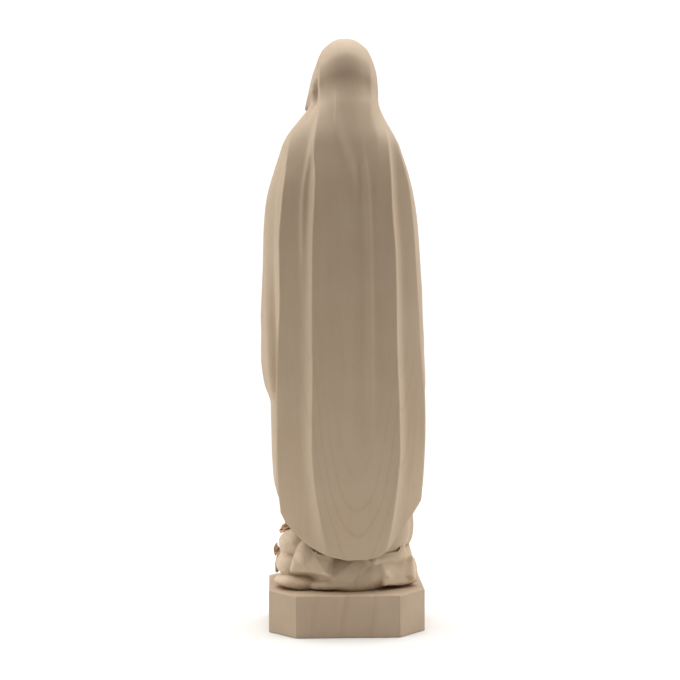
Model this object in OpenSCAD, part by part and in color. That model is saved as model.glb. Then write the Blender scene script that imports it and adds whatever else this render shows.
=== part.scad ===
// Standing Madonna carved in maple: a cloaked figure on a rock mound and an octagonal plinth.
// The figure faces -Y, +X is her left side, and the plinth stands on z = 0. Millimetres.

/* [Plinth] */
// Width of the plinth, across the figure's shoulders
plinth_w = 79; // [60:1:120]
// Depth of the plinth, front to back
plinth_d = 63.5; // [50:0.5:100]
// Height of the plinth
plinth_h = 21.4; // [10:0.2:40]
// Length cut off each corner, along both sides
corner_cut = 13.5; // [4:0.5:20]
// Arris taken off the plinth's top and bottom edges
arris = 0.5; // [0.2:0.1:2]

/* [Figure] */
// Height of the flat top of the rock mound, on which the robe stands
mound_top = 40; // [36:0.5:44]
// Height of the line round the neck where the cloak turns into the hood
neck_z = 264; // [262:1:266]
// Carved thickness of the cloak, before its folds
cloak_wall = 3.4; // [2.4:0.1:3.6]
// Gap left for glue between two fitted pieces
glue_gap = 0.1; // [0.05:0.05:0.3]
// How far the head is turned to her left, in degrees
head_turn = 14; // [0:1:20]
// How far the head is bowed, in degrees
head_bow = 5; // [0:1:8]

/* [Joints] */
// Diameter of the two dowels between the mound and the robe
mound_dowel_d = 6; // [4:0.5:8]
// Diameter of the dowels that hold the cloak to the robe's back
cloak_dowel_d = 4; // [3:0.5:5]
// Diameter of the dowel in the neck
neck_dowel_d = 4; // [3:0.5:5]
// Diameter of the dowel behind each sleeve
sleeve_dowel_d = 3; // [2:0.5:4]
// Diameter of the wood screws under the plinth
screw_d = 4; // [3:0.5:5]
// Diameter of the hole that each screw head sinks into
counterbore_d = 9; // [8:0.5:12]
// Depth of that hole
counterbore_h = 5; // [3:0.5:10]

/* [Resolution] */
// Rows of facets up the cloak's body
cloak_rows = 24; // [12:1:40]
// Rows of facets over the hood
hood_rows = 10; // [6:1:20]
// Facets round the robe
robe_sides = 48; // [24:4:72]

/* [Hidden] */
$fn = 48;
wood = [0.80, 0.68, 0.52];
pale_wood = [0.86, 0.76, 0.62];
steel = [0.62, 0.63, 0.65];
cloak_hem_z = 39;
hood_angle = 97;
rim_s = neck_z + hood_angle;
robe_bottom = mound_top + glue_gap;
robe_top = 253;
screw_x = 21;
screw_tip_z = 35;
dowel_x = 9;
dowel_reach = 10;
cloak_dowel_z = [80, 150, 210];
cloak_dowel_in_robe = 8;
cloak_dowel_in_cloak = 2.3;
sleeve_dowel_at = [18, 0, 207];
fit = 0.05;

// ---------- curves and surfaces ----------

// A smooth curve through a table of [position, value] pairs
function span_of(table, s, i = 0) =
    i >= len(table) - 2 || s < table[i + 1][0] ? i : span_of(table, s, i + 1);
function curve(table, s) =
    let (i = span_of(table, s),
         before = table[max(i - 1, 0)],
         a = table[i],
         b = table[i + 1],
         after = table[min(i + 2, len(table) - 1)],
         h = b[0] - a[0],
         k = min(1, max(0, (s - a[0]) / h)),
         slope_a = (b[1] - before[1]) / (b[0] - before[0]) * h,
         slope_b = (after[1] - a[1]) / (after[0] - a[0]) * h)
    (2 * k * k * k - 3 * k * k + 1) * a[1] + (k * k * k - 2 * k * k + k) * slope_a
    + (3 * k * k - 2 * k * k * k) * b[1] + (k * k * k - k * k) * slope_b;
function smooth(a, b, v) = let (k = min(1, max(0, (v - a) / (b - a)))) k * k * (3 - 2 * k);
function bump(v, centre, width) = exp(-pow((v - centre) / width, 2));
function mix(a, b, k) = a + (b - a) * k;

// A carved pleat: a crisp crest at angle "at", with a slow side towards the back and a quick one outwards
function pleat(t, at, height, slow, quick) =
    let (out = (t - at) * sign(at),
         side = out < 0 ? 1 + out / slow : 1 - out / quick)
    height * pow(max(0, side), 2);

// Faces over a grid of points whose columns run right to left, seen from the side that "outward" picks
function grid_faces(rows, cols, first, outward) =
    [for (r = [0:rows - 2], c = [0:cols - 2])
        let (a = first + r * cols + c, b = a + 1, d = a + cols, e = d + 1)
        each outward ? [[a, b, e], [a, e, d]] : [[a, e, b], [a, d, e]]];
function strip_faces(edge, n, back) =
    [for (i = [0:len(edge) - 2])
        let (a = edge[i], b = edge[i + 1], c = b + n, d = a + n)
        each back ? [[a, c, b], [a, d, c]] : [[a, b, c], [a, c, d]]];
function flat(rows) = [for (row = rows) each row];

// A carved sheet: an outer and an inner grid of points, joined round their four edges
module sheet(outer, inner) {
    rows = len(outer);
    cols = len(outer[0]);
    n = rows * cols;
    bottom = [for (c = [0:cols - 1]) c];
    top = [for (c = [0:cols - 1]) (rows - 1) * cols + c];
    right = [for (r = [0:rows - 1]) r * cols];
    left = [for (r = [0:rows - 1]) r * cols + cols - 1];
    polyhedron(
        points = concat(flat(outer), flat(inner)),
        faces = concat(
            grid_faces(rows, cols, 0, true),
            grid_faces(rows, cols, n, false),
            strip_faces(bottom, n, true),
            strip_faces(top, n, false),
            strip_faces(right, n, false),
            strip_faces(left, n, true)),
        convexity = 8);
}

// A solid through closed rings of points, each running anticlockwise seen against the way that they stack
module loft(rings) {
    n = len(rings[0]);
    last = len(rings) - 1;
    total = len(rings) * n;
    low = [for (axis = [0:2]) mean([for (p = rings[0]) p[axis]])];
    high = [for (axis = [0:2]) mean([for (p = rings[last]) p[axis]])];
    polyhedron(
        points = concat(flat(rings), [low, high]),
        faces = concat(
            [for (r = [0:last - 1], c = [0:n - 1])
                let (a = r * n + c, b = r * n + (c + 1) % n, d = a + n, e = b + n)
                each [[a, e, b], [a, d, e]]],
            [for (c = [0:n - 1]) [total, c, (c + 1) % n]],
            [for (c = [0:n - 1]) [total + 1, last * n + (c + 1) % n, last * n + c]]),
        convexity = 8);
}
function mean(v) = v * [for (x = v) 1] / len(v);

// ---------- cloak ----------
// Every table starts at the hem. Past the neck the position goes on as an angle round the jaw,
// one unit a degree, until the hood's rim over the forehead.

cloak_left = [[39, 37], [84, 37.6], [118, 37], [142, 38.2], [167, 38.9], [193, 39.2], [213, 38.8],
    [223, 37.8], [233, 35.2], [243, 32.2], [249, 30.4], [254, 28.4], [259, 24.6], [264, 20.6],
    [279, 19.6], [309, 19.4], [335, 18.8], [361, 18]];
cloak_right = [[39, 38], [80, 38.8], [116, 39], [142, 38], [167, 37.2], [193, 35.8], [213, 34.2],
    [223, 33], [233, 31], [243, 28], [249, 26.2], [254, 23], [259, 20], [264, 19],
    [279, 18.6], [309, 18.2], [361, 17.8]];
cloak_back = [[39, 30.5], [60, 29.5], [100, 28], [165, 28.5], [218, 28], [235, 27.3], [250, 26.6],
    [258, 25.4], [264, 24.3], [274, 22.9], [285, 22.4], [295, 23], [302, 24.4], [309, 26.9], [321, 30.9],
    [330, 32.9], [341, 34.9], [352, 36], [361, 35.6]];
cloak_front = [[118, 26], [150, 28.5], [190, 32.5], [206, 33], [222, 26.5], [240, 17], [250, 11.5],
    [258, 7.6], [264, 4.6], [280, 2.8], [361, 2]];
cloak_centre = [[39, 0], [225, 0], [250, -2.5], [264, -5], [361, -5]];
cloak_reach = [[39, 141], [118, 141], [150, 148], [190, 155], [210, 157], [235, 154], [250, 155],
    [258, 151], [264, 138], [275, 112], [290, 93], [300, 89], [361, 88]];
cloak_square = [[39, 0.77], [225, 0.77], [250, 0.82], [264, 0.88], [280, 0.96], [320, 0.96],
    [361, 0.86]];
cloak_tuck_left = [[39, 0], [245, 0], [264, 0.1], [290, -0.02], [361, -0.04]];
cloak_tuck_right = [[39, 0], [245, 0], [264, 0.2], [290, 0.14], [320, 0.1], [361, 0.12]];

// Height of the hem at each angle from the middle of the back, on her right and on her left
hem_right = [[0, 39.4], [14, 40.2], [24, 44.2], [36, 53.5], [48, 60], [63, 70], [90, 88], [141, 118]];
hem_left = [[0, 39.4], [15, 43], [29, 48], [44, 55.7], [54, 65], [74, 76.5], [90, 87], [141, 118]];

// Angles of the pleats' crests
inner_left = [[39, 9.5], [54, 13], [66, 15.6], [80, 18.4], [100, 20], [140, 19], [200, 18],
    [220, 17.2], [232, 18.8], [241, 22.6], [250, 24.6], [256, 27], [264, 34], [276, 39], [300, 42],
    [330, 41], [361, 34]];
inner_right = [[39, -21], [53, -25], [70, -29], [90, -32], [120, -31], [150, -30], [190, -30.6],
    [214, -29.6], [230, -31.5], [242, -35.5], [250, -41], [256, -50], [264, -62], [361, -66]];
outer_left = [[39, 50], [75, 56], [100, 56], [120, 56.5], [148, 52], [166, 49], [200, 49], [214, 47],
    [227, 47], [236, 50], [244, 54], [256, 62], [264, 66], [361, 70]];
outer_right = [[39, -58], [80, -66], [150, -62], [180, -59], [205, -58], [225, -56], [244, -54],
    [264, -66], [361, -70]];
inner_height = [[39, 1.4], [60, 2.6], [100, 3], [230, 3], [252, 2.2], [264, 1.3], [280, 0.9],
    [310, 0.9], [340, 0.6], [361, 0.3]];
outer_height = [[39, 0.6], [120, 2.2], [150, 2.6], [230, 2.4], [250, 1.3], [264, 0.2], [361, 0]];
drape_height = [[39, 0], [114, 0], [125, 3.4], [145, 3.6], [200, 1.4], [361, 0]];
right_fade = [[39, 1.1], [236, 1.1], [252, 0.8], [262, 0], [361, 0]];
veil_ridge = [[39, -14], [190, -14], [214, -16], [235, -20], [250, -28], [264, -33], [290, -40],
    [361, -34]];
veil_ridge_height = [[39, 0], [160, 0], [190, 0.3], [214, 0.6], [240, 0.9], [264, 0.9], [300, 0.7],
    [340, 0.5], [361, 0.3]];
veil_groove = [[39, 0], [258, 0], [266, 1.2], [275, 1.8], [310, 2], [335, 1], [361, 0]];

function cloak_folds(s, t) =
    pleat(t, curve(inner_left, s), curve(inner_height, s), 34, 17)
    + pleat(t, curve(inner_right, s), curve(inner_height, s) * curve(right_fade, s), 34, 17)
    + pleat(t, curve(outer_left, s), curve(outer_height, s), 25, 9)
    + pleat(t, curve(outer_right, s), curve(outer_height, s), 23, 9)
    + curve(drape_height, s) * bump(t, 98, 24)
    + 0.3 * curve(drape_height, s) * bump(t, -100, 20)
    + pleat(t, curve(veil_ridge, s), curve(veil_ridge_height, s), 20, 26)
    - curve(veil_groove, s) * bump(t, 48, 5);

// A point of the cloak at position s and angle t, "out" beyond its carved block
function cloak_point(s, t, out) =
    let (half = curve(t > 0 ? cloak_left : cloak_right, s) + out,
         square = curve(cloak_square, s),
         c = cos(t),
         depth = c >= 0 ? (curve(cloak_back, s) + out) * pow(c, square)
                        : -(curve(cloak_front, s) + out) * pow(-c, square),
         tuck = 1 - curve(t > 0 ? cloak_tuck_left : cloak_tuck_right, s) * smooth(58, 90, abs(t)),
         turn = max(0, s - neck_z))
    [sign(t) * half * pow(abs(sin(t)), square) * tuck,
     curve(cloak_centre, s) + depth * cos(turn),
     min(s, neck_z) + depth * sin(turn)];

// Columns of the sheet bunch at the crests, so that each crest stays crisp
function cloak_angles(s) =
    let (reach = curve(cloak_reach, s),
         keys = [-reach, -min(105, reach - 8), curve(outer_right, s), curve(inner_right, s), 0,
                 curve(inner_left, s), curve(outer_left, s), min(105, reach - 8), reach],
         parts = [4, 4, 4, 6, 5, 5, 4, 4])
    concat([for (i = [0:7], k = [0:parts[i] - 1]) mix(keys[i], keys[i + 1], k / parts[i])], [reach]);

function cloak_row(v, wall) =
    [for (i = [0:len(cloak_angles(neck_z)) - 1])
        let (hem_t = cloak_angles(cloak_hem_z)[i],
             hem = curve(hem_t > 0 ? hem_left : hem_right, abs(hem_t)),
             s = v <= 1 ? mix(hem, neck_z, v) : mix(neck_z, rim_s, v - 1),
             t = cloak_angles(s)[i])
        cloak_point(s, t, wall > 0 ? -wall : cloak_folds(s, t))];

module mantle() {
    steps = concat([for (i = [0:cloak_rows - 1]) i / cloak_rows],
                   [for (i = [0:hood_rows]) 1 + i / hood_rows]);
    color(wood)
    difference() {
        sheet([for (v = steps) cloak_row(v, 0)], [for (v = steps) cloak_row(v, cloak_wall)]);
        for (z = cloak_dowel_z)
            translate([0, cloak_inside(z) - 2, z]) rotate([-90, 0, 0])
                cylinder(d = cloak_dowel_d + 2 * fit, h = 2 + cloak_dowel_in_cloak);
    }
}
function cloak_inside(z) = curve(cloak_back, z) + curve(cloak_centre, z) - cloak_wall;

// ---------- robe ----------

robe_left = [[40, 26.4], [44, 27.5], [52, 28], [62, 29.2], [80, 30.4], [110, 29.4], [150, 28], [175, 26.6],
    [187, 23.6], [196, 24.4], [212, 27.4], [228, 26.8], [237, 25], [243, 21], [247, 15.6],
    [250, 10.2], [253, 7.8]];
robe_right = [[40, 30.5], [44, 33], [52, 34], [64, 32.6], [80, 31], [110, 29.4], [150, 28], [175, 26.6],
    [187, 23.6], [196, 24.4], [212, 26.8], [228, 25.6], [237, 23.6], [243, 20], [247, 15],
    [250, 10], [253, 7.8]];
robe_front = [[40, 20.5], [52, 21], [80, 19.5], [110, 18.6], [150, 17.4], [175, 16.4], [187, 14.6],
    [196, 15], [215, 15.6], [230, 13.8], [240, 10.8], [247, 8.4], [253, 7.4]];
robe_flute = [[40, 1.5], [60, 1.6], [110, 1.4], [160, 0.9], [183, 0.2], [188, 0], [253, 0]];

function robe_back(z) =
    min(cloak_inside(z) - glue_gap, curve([[40, 40], [222, 24.6], [232, 21], [240, 16.5], [248, 10.5],
        [253, 7.8]], z));
// Flutes of the skirt: rounded crests and crisp hollows, on the front only
function flute(z, t) =
    curve(robe_flute, z) * smooth(80, 110, abs(t)) * (abs(sin(t * 4.5 + 0.12 * (z - 40))) * 2 - 1);
function robe_point(z, t, out) =
    let (c = cos(t),
         o = out + flute(z, t),
         half = curve(t > 0 ? robe_left : robe_right, z) + o,
         depth = c >= 0 ? (robe_back(z) + min(out, 0)) * pow(c, 0.85)
                        : -(curve(robe_front, z) + o) * pow(-c, 0.85))
    [sign(t) * half * pow(abs(sin(t)), 0.85), depth, z];

robe_levels = [robe_bottom, 44, 50, 58, 70, 84, 98, 112, 126, 140, 153, 165, 175, 182, 187, 192, 200,
    210, 220, 228, 234, 239, 243, 247, 250, robe_top];
function ring_angles(sides) = [for (i = [0:sides - 1]) 180 - 360 * (i + 0.5) / sides];

module robe() {
    color(wood)
    difference() {
        loft([for (z = robe_levels) [for (t = ring_angles(robe_sides)) robe_point(z, t, 0)]]);
        for (side = [-1, 1]) {
            translate([side * dowel_x, 0, robe_bottom - 1])
                cylinder(d = mound_dowel_d + 2 * fit, h = 1 + dowel_reach);
            translate([side * sleeve_dowel_at[0], -30, sleeve_dowel_at[2]]) rotate([-90, 0, 0])
                cylinder(d = sleeve_dowel_d + 2 * fit, h = 25);
            foot_socket(side);
        }
        for (z = cloak_dowel_z)
            translate([0, robe_back(z) - cloak_dowel_in_robe, z]) rotate([-90, 0, 0])
                cylinder(d = cloak_dowel_d + 2 * fit, h = cloak_dowel_in_robe + 6);
        translate([0, 0, robe_top - dowel_reach])
            cylinder(d = neck_dowel_d + 2 * fit, h = dowel_reach + 1);
    }
}

// ---------- sash ----------
sash_low = 184;
sash_high = 190.5;
sash_wall = 1.5;
tail_low = 100;

// Angle round the robe of a place "a" degrees from the middle of its front, towards her left
function front_angle(a) = a >= 0 ? 180 - a : -180 - a;

// A strip that lies on the robe's front between two heights, from angle a_left to angle a_right
module strip_on_robe(z_levels, a_left, a_right, columns, spread = 0) {
    rows = len(z_levels) - 1;
    strip_rows = [for (r = [0:rows])
        let (open = 1 + spread * (1 - r / rows))
        [for (i = [0:columns])
            [z_levels[r], front_angle(mix(a_left, a_right, i / columns) * open)]]];
    sheet([for (row = strip_rows) [for (q = row) robe_point(q[0], q[1], glue_gap + sash_wall)]],
          [for (row = strip_rows) [for (q = row) robe_point(q[0], q[1], glue_gap)]]);
}
module sash_band() {
    color(pale_wood)
    strip_on_robe([sash_low, sash_low + 2, sash_high - 2, sash_high], 74, -74, 24);
}
module sash_left_tail() {
    color(pale_wood)
    strip_on_robe([for (k = [0:10]) mix(tail_low, sash_low - glue_gap, k / 10)], 16, 2, 5, 0.25);
}
module sash_right_tail() {
    color(pale_wood)
    strip_on_robe([for (k = [0:10]) mix(tail_low + 8, sash_low - glue_gap, k / 10)], -2, -16, 5, 0.25);
}

// ---------- sleeves and hands ----------
elbow = [25, -17.2, 206];
cuff = [5.6, -26.2, 211.5];
sleeve_dir = (cuff - elbow) / norm(cuff - elbow);
sleeve_side = cross([0, 0, 1], sleeve_dir) / norm(cross([0, 0, 1], sleeve_dir));
sleeve_up = cross(sleeve_dir, sleeve_side);
sleeve_thick = [[0, 5.4], [0.12, 7], [0.5, 7], [1, 6.6]];
sleeve_tall = [[0, 6.4], [0.12, 8.8], [0.5, 10], [0.85, 12.2], [1, 12.6]];
sleeve_drop = [[0, 0], [0.5, -1.2], [1, -3.4]];
wrist_d = 5;
wrist_depth = 7;

module left_sleeve() {
    color(wood)
    difference() {
        loft([for (k = [0, 0.05, 0.12, 0.25, 0.4, 0.55, 0.7, 0.85, 0.95, 1])
            let (middle = mix(elbow, cuff, k) + [0, 0, curve(sleeve_drop, k)])
            [for (i = [0:27])
                let (a = i * 360 / 28, fold = 0.5 * k * cos(5 * a))
                middle + sleeve_side * (curve(sleeve_thick, k) + fold) * cos(a)
                    + sleeve_up * (curve(sleeve_tall, k) + fold) * sin(a)]]);
        wrist_pin(2 * fit, wrist_depth + 0.2);
        translate([sleeve_dowel_at[0], sleeve_dowel_at[1] - 19, sleeve_dowel_at[2]]) rotate([-90, 0, 0])
            cylinder(d = sleeve_dowel_d + 2 * fit, h = 15);
    }
}
module right_sleeve() {
    mirror([1, 0, 0]) left_sleeve();
}
// The wrist, as deep inside the cuff as "reach"
module wrist_pin(extra, reach) {
    tilt = acos(-sleeve_dir[2]);
    spin = atan2(-sleeve_dir[1], -sleeve_dir[0]);
    translate(cuff + sleeve_dir * 2) rotate([0, tilt, spin])
        cylinder(d = wrist_d + extra, h = reach + 2);
}

hand_root = [0, -26.4, 207.5];
hand_dir = [0, -0.2, 0.98];
hand_across = [0, 0.98, 0.2];
hand_half = [[0, 2.6], [5, 3.4], [11, 3.9], [17, 3.5], [22, 2.7], [25, 1.7], [26.4, 0.6]];
hand_thick = [[0, 3.2], [5, 3.3], [11, 2.7], [17, 2.1], [22, 1.7], [26.4, 0.5]];

module left_hand() {
    color(pale_wood)
    union() {
        loft([for (k = [0, 2.5, 5, 8, 11, 14, 17, 20, 22.5, 24.5, 26, 26.4])
            let (middle = hand_root + hand_dir * k, w = curve(hand_half, k), t = curve(hand_thick, k))
            concat(
                [for (a = [-90:15:90])
                    middle + [glue_gap / 2 + t * pow(cos(a), 0.7), 0, 0] + hand_across * w * sin(a)],
                [for (e = [0.6, 0.2, -0.2, -0.6])
                    middle + [glue_gap / 2 - 0.02, 0, 0] + hand_across * w * e])]);
        wrist_pin(0, wrist_depth);
    }
}
module right_hand() {
    mirror([1, 0, 0]) left_hand();
}

// ---------- head ----------
head_base = robe_top + glue_gap;
head_centre = [0.6, -1.2];
head_half = [[0, 6.6], [4, 6.2], [7.5, 6.3], [9.5, 7.4], [11.5, 8.4], [15, 9.7], [20, 10.7], [25, 11.3],
    [30, 11.5], [35, 10.8], [39, 8.6], [41.6, 5.2], [43, 1.6]];
head_front = [[0, 6.2], [4, 5.8], [7.5, 6.2], [9.5, 10.4], [11.5, 12], [15, 12.5], [20, 12.6], [25, 12.2],
    [30, 12.6], [35, 11.6], [39, 9.2], [41.6, 5.6], [43, 1.8]];
head_rear = [[0, 6.4], [4, 6.4], [7.5, 7.6], [9.5, 8.6], [11.5, 9.6], [15, 10.9], [20, 12], [25, 12.6],
    [30, 12.7], [35, 11.8], [39, 9.4], [41.6, 5.6], [43, 1.8]];
head_levels = [0, 2.5, 5, 7.5, 9, 10, 11.5, 13, 14.5, 16, 17.2, 18.2, 19.2, 20.2, 21.5, 23, 24.5, 26,
    28, 30, 32.5, 35, 37, 39, 40.5, 41.8, 43];
// How far the nose, lips and eye hollows stand out at height z, "a" degrees from the face's middle
function face_relief(z, a) =
    2.5 * bump(a, 0, 8) * smooth(27, 19.4, z) * smooth(17.6, 19, z)
    + 0.5 * bump(z, 14.6, 1.5) * bump(a, 0, 18)
    - 0.8 * bump(z, 24.5, 1.8) * (bump(a, 22, 11) + bump(a, -22, 11));

module head() {
    color(pale_wood)
    translate([head_centre[0], head_centre[1], head_base]) rotate([0, 0, head_turn])
    difference() {
        loft([for (z = head_levels)
            let (lean = -max(0, z - 5) * tan(head_bow))
            [for (i = [0:35])
                let (a = (i + 0.5) * 10,
                     x = sin(a),
                     y = -cos(a),
                     front_a = a > 180 ? a - 360 : a,
                     deep = curve(y < 0 ? head_front : head_rear, z) + face_relief(z, front_a))
                [curve(head_half, z) * x, deep * y + lean, z]]]);
        rotate([0, 0, -head_turn]) translate([-head_centre[0], -head_centre[1], -1])
            cylinder(d = neck_dowel_d + 2 * fit, h = 1 + dowel_reach);
    }
}

// ---------- feet ----------
foot_x = 8.2;
foot_back_y = -11;
foot_half = [[0, 4.5], [6, 4.6], [12, 5], [16, 4.6], [17.6, 3.2], [18.4, 1.6]];
foot_tall = [[0, 7.4], [6, 7.2], [10, 6.2], [14, 4.4], [17, 3.4], [18.4, 1.6]];
rose_y = -22.6;
rose_peg_d = 1.6;

function foot_ring(k) =
    [for (i = [0:19])
        let (a = -i * 18 + 90)
        [curve(foot_half, k) * cos(a), foot_back_y - k,
         mound_top + glue_gap + curve(foot_tall, k) * (max(-0.3, sin(a)) + 0.3) / 1.3]];
module foot_socket(side) {
    translate([side * foot_x - 4.9, -40, robe_bottom - 1])
        cube([9.8, 40 + foot_back_y + 0.1, 1 + 7.8]);
}
module foot(side) {
    difference() {
        translate([side * foot_x, 0, 0])
            loft([for (k = [0, 3, 6, 8, 10, 12, 14, 15.5, 16.8, 17.8, 18.4]) foot_ring(k)]);
        translate([side * foot_x, rose_y, mound_top + 4]) cylinder(d = rose_peg_d + 2 * fit, h = 8);
    }
}
module left_foot() {
    color(pale_wood) foot(1);
}
module right_foot() {
    color(pale_wood) foot(-1);
}

// A carved rose on a peg: a bowl of petals with a bud in it, r wide and h high
module rose(r, h, peg) {
    rotate_extrude()
        polygon([[0, -peg], [rose_peg_d / 2, -peg], [rose_peg_d / 2, 0], [r * 0.55, 0],
            [r * 0.9, h * 0.3], [r, h * 0.55], [r * 0.92, h * 0.72], [r * 0.62, h * 0.6],
            [r * 0.5, h * 0.86], [r * 0.3, h * 0.8], [r * 0.2, h], [0, h]]);
}
module foot_rose(side) {
    translate([side * foot_x, rose_y, mound_top + glue_gap + 6.1]) rose(3.3, 2.8, 1.6);
}
module left_foot_rose() {
    color(pale_wood) foot_rose(1);
}
module right_foot_rose() {
    color(pale_wood) foot_rose(-1);
}

// ---------- rock mound ----------
mound_half = [[21, 34.4], [24, 35.4], [29, 35.6], [34, 34.2], [38, 33.6], [40, 33.2]];
mound_back = 24.4;
mound_front = 30;
// Radius of the mound's outline at angle t, with its boulders and facets
function stone(z, t) =
    0.9 * sin(3 * t + 4 * z) + 0.6 * sin(7 * t - 6 * z) + 0.5 * abs(sin(5 * t + 9 * z)) - 0.9;
function mound_point(z, t, shrink) =
    let (c = cos(t),
         half = curve(mound_half, min(z, mound_top)) + stone(min(z, mound_top), t),
         share = half / 35.4)
    [sign(t) * half * pow(abs(sin(t)), 0.8) * shrink,
     share * (c >= 0 ? mound_back : -mound_front) * pow(abs(c), 0.8) * shrink,
     z];
// The rock rises past the robe on her left
function left_crest(t) = 4.6 * smooth(62, 78, t) * smooth(150, 120, t);

module rock_mound() {
    wall = [mound_base, 23, 25.5, 28, 30.5, 33, 35.5, 37.5, 39];
    rim = [[0.97, 0.9], [0.93, 1], [0.9, 0.96], [0.865, 0]];
    color(wood)
    difference() {
        loft(concat(
            [for (z = wall) [for (t = ring_angles(48)) mound_point(z, t, 1)]],
            [for (q = rim) [for (t = ring_angles(48))
                mound_point(mound_top + left_crest(t) * q[1], t, q[0])]],
            [[for (t = ring_angles(48)) mound_point(mound_top, t, 0.4)]]));
        for (side = [-1, 1]) {
            translate([side * dowel_x, 0, mound_top - dowel_reach])
                cylinder(d = mound_dowel_d + 2 * fit, h = dowel_reach + 1);
            translate([side * screw_x, 0, mound_base - 1])
                cylinder(d = screw_d - 0.2 + 2 * fit, h = screw_tip_z - mound_base + 1.3);
        }
        rose_seat(upper_rose_at, upper_rose_lean, upper_rose_r);
        rose_seat(lower_rose_at, lower_rose_lean, lower_rose_r);
    }
}
mound_base = plinth_h + glue_gap;

// ---------- rose branch beside her left foot ----------
upper_rose_at = [30.9, -10.5, 44.5];
upper_rose_lean = [0, 16, 0];
upper_rose_r = 3.2;
lower_rose_at = [34.2, -9, 34.6];
lower_rose_lean = [0, 82, 0];
lower_rose_r = 3.4;
stem_r = 0.9;
stem_out = 0.55;

module rose_seat(at, lean, r) {
    translate(at) rotate(lean) {
        cylinder(r = r + 0.3, h = 12);
        translate([0, 0, -3.2]) cylinder(d = rose_peg_d + 2 * fit, h = 4);
    }
}
module upper_rose() {
    color(pale_wood) translate(upper_rose_at) rotate(upper_rose_lean) translate([0, 0, glue_gap])
        rose(upper_rose_r, 6.4, 2.8);
}
module lower_rose() {
    color(pale_wood) translate(lower_rose_at) rotate(lower_rose_lean) translate([0, 0, glue_gap])
        rose(lower_rose_r, 3, 2.8);
}
// The stem climbs the rock, standing just clear of it
stem_t = [[24, 128], [30, 122], [36, 116], [42, 112]];
function stem_middle(z) =
    let (p = mound_point(z, curve(stem_t, z), 1))
    [p[0] + stem_r + stem_out, p[1] - 0.6, z];
module rose_stem() {
    color(wood)
    union() {
        loft([for (z = [24, 27, 30, 33, 36, 39, 42])
            [for (i = [0:9]) stem_middle(z) + stem_r * [cos(i * 36), sin(i * 36), 0]]]);
        leaf(stem_middle(28), [0, 62, -60], 7);
        leaf(stem_middle(34), [0, 50, -110], 6.4);
        leaf(stem_middle(40), [0, 35, -70], 6);
    }
}
// A pointed leaf of the given length, thickest at its midrib
module leaf(at, lean, length) {
    translate(at) rotate(lean)
        loft([for (k = [0, 0.15, 0.35, 0.6, 0.82, 1])
            let (w = length * 0.3 * sqrt(sin(18 + 158 * k)), h = 0.75 - 0.35 * k)
            [for (i = [0:7]) [w * cos(i * 45), h * sin(i * 45) + 1.2 * k * k, length * k]]]);
}

// ---------- plinth, screws and dowels ----------
module octagon(inset) {
    x = plinth_w / 2 - inset;
    y = plinth_d / 2 - inset;
    c = corner_cut - 0.586 * inset;
    polygon([[x - c, -y], [x, c - y], [x, y - c], [x - c, y],
        [c - x, y], [-x, y - c], [-x, c - y], [c - x, -y]]);
}
module plinth() {
    color(wood)
    difference() {
        union() {
            linear_extrude(arris) octagon(arris);
            translate([0, 0, arris]) linear_extrude(plinth_h - 2 * arris) octagon(0);
            translate([0, 0, plinth_h - arris]) linear_extrude(arris) octagon(arris);
        }
        for (side = [-1, 1])
            translate([side * screw_x, 0, -1]) {
                cylinder(d = counterbore_d, h = counterbore_h + 1);
                cylinder(d = screw_d + 4 * fit, h = plinth_h + 2);
            }
    }
}
module plinth_screws() {
    color(steel)
    for (side = [-1, 1])
        translate([side * screw_x, 0, 0])
            rotate_extrude()
                polygon([[0, counterbore_h - 2.5], [counterbore_d / 2 - 1, counterbore_h - 2.5],
                    [counterbore_d / 2 - 1, counterbore_h - fit], [screw_d / 2, counterbore_h - fit],
                    [screw_d / 2, plinth_h], [screw_d / 2 - 0.1, plinth_h],
                    [screw_d / 2 - 0.1, screw_tip_z - 2], [0, screw_tip_z]]);
}
module mound_dowels() {
    color(pale_wood)
    for (side = [-1, 1])
        translate([side * dowel_x, 0, mound_top - dowel_reach + fit])
            cylinder(d = mound_dowel_d, h = 2 * dowel_reach + glue_gap - 2 * fit);
}
module mantle_dowels() {
    color(pale_wood)
    for (z = cloak_dowel_z)
        translate([0, robe_back(z) - cloak_dowel_in_robe + fit, z]) rotate([-90, 0, 0])
            cylinder(d = cloak_dowel_d,
                h = cloak_dowel_in_robe + cloak_dowel_in_cloak + glue_gap - 2 * fit);
}
module neck_dowel() {
    color(pale_wood)
    translate([0, 0, robe_top - dowel_reach + fit])
        cylinder(d = neck_dowel_d, h = 2 * dowel_reach + glue_gap - 2 * fit);
}
module sleeve_dowels() {
    color(pale_wood)
    for (side = [-1, 1])
        translate([side * sleeve_dowel_at[0], sleeve_dowel_at[1] - 18.9, sleeve_dowel_at[2]])
            rotate([-90, 0, 0]) cylinder(d = sleeve_dowel_d, h = 13.8);
}

plinth();
plinth_screws();
rock_mound();
mound_dowels();
robe();
mantle();
mantle_dowels();
head();
neck_dowel();
left_sleeve();
right_sleeve();
sleeve_dowels();
left_hand();
right_hand();
sash_band();
sash_left_tail();
sash_right_tail();
left_foot();
right_foot();
left_foot_rose();
right_foot_rose();
rose_stem();
upper_rose();
lower_rose();
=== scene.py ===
import math

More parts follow.
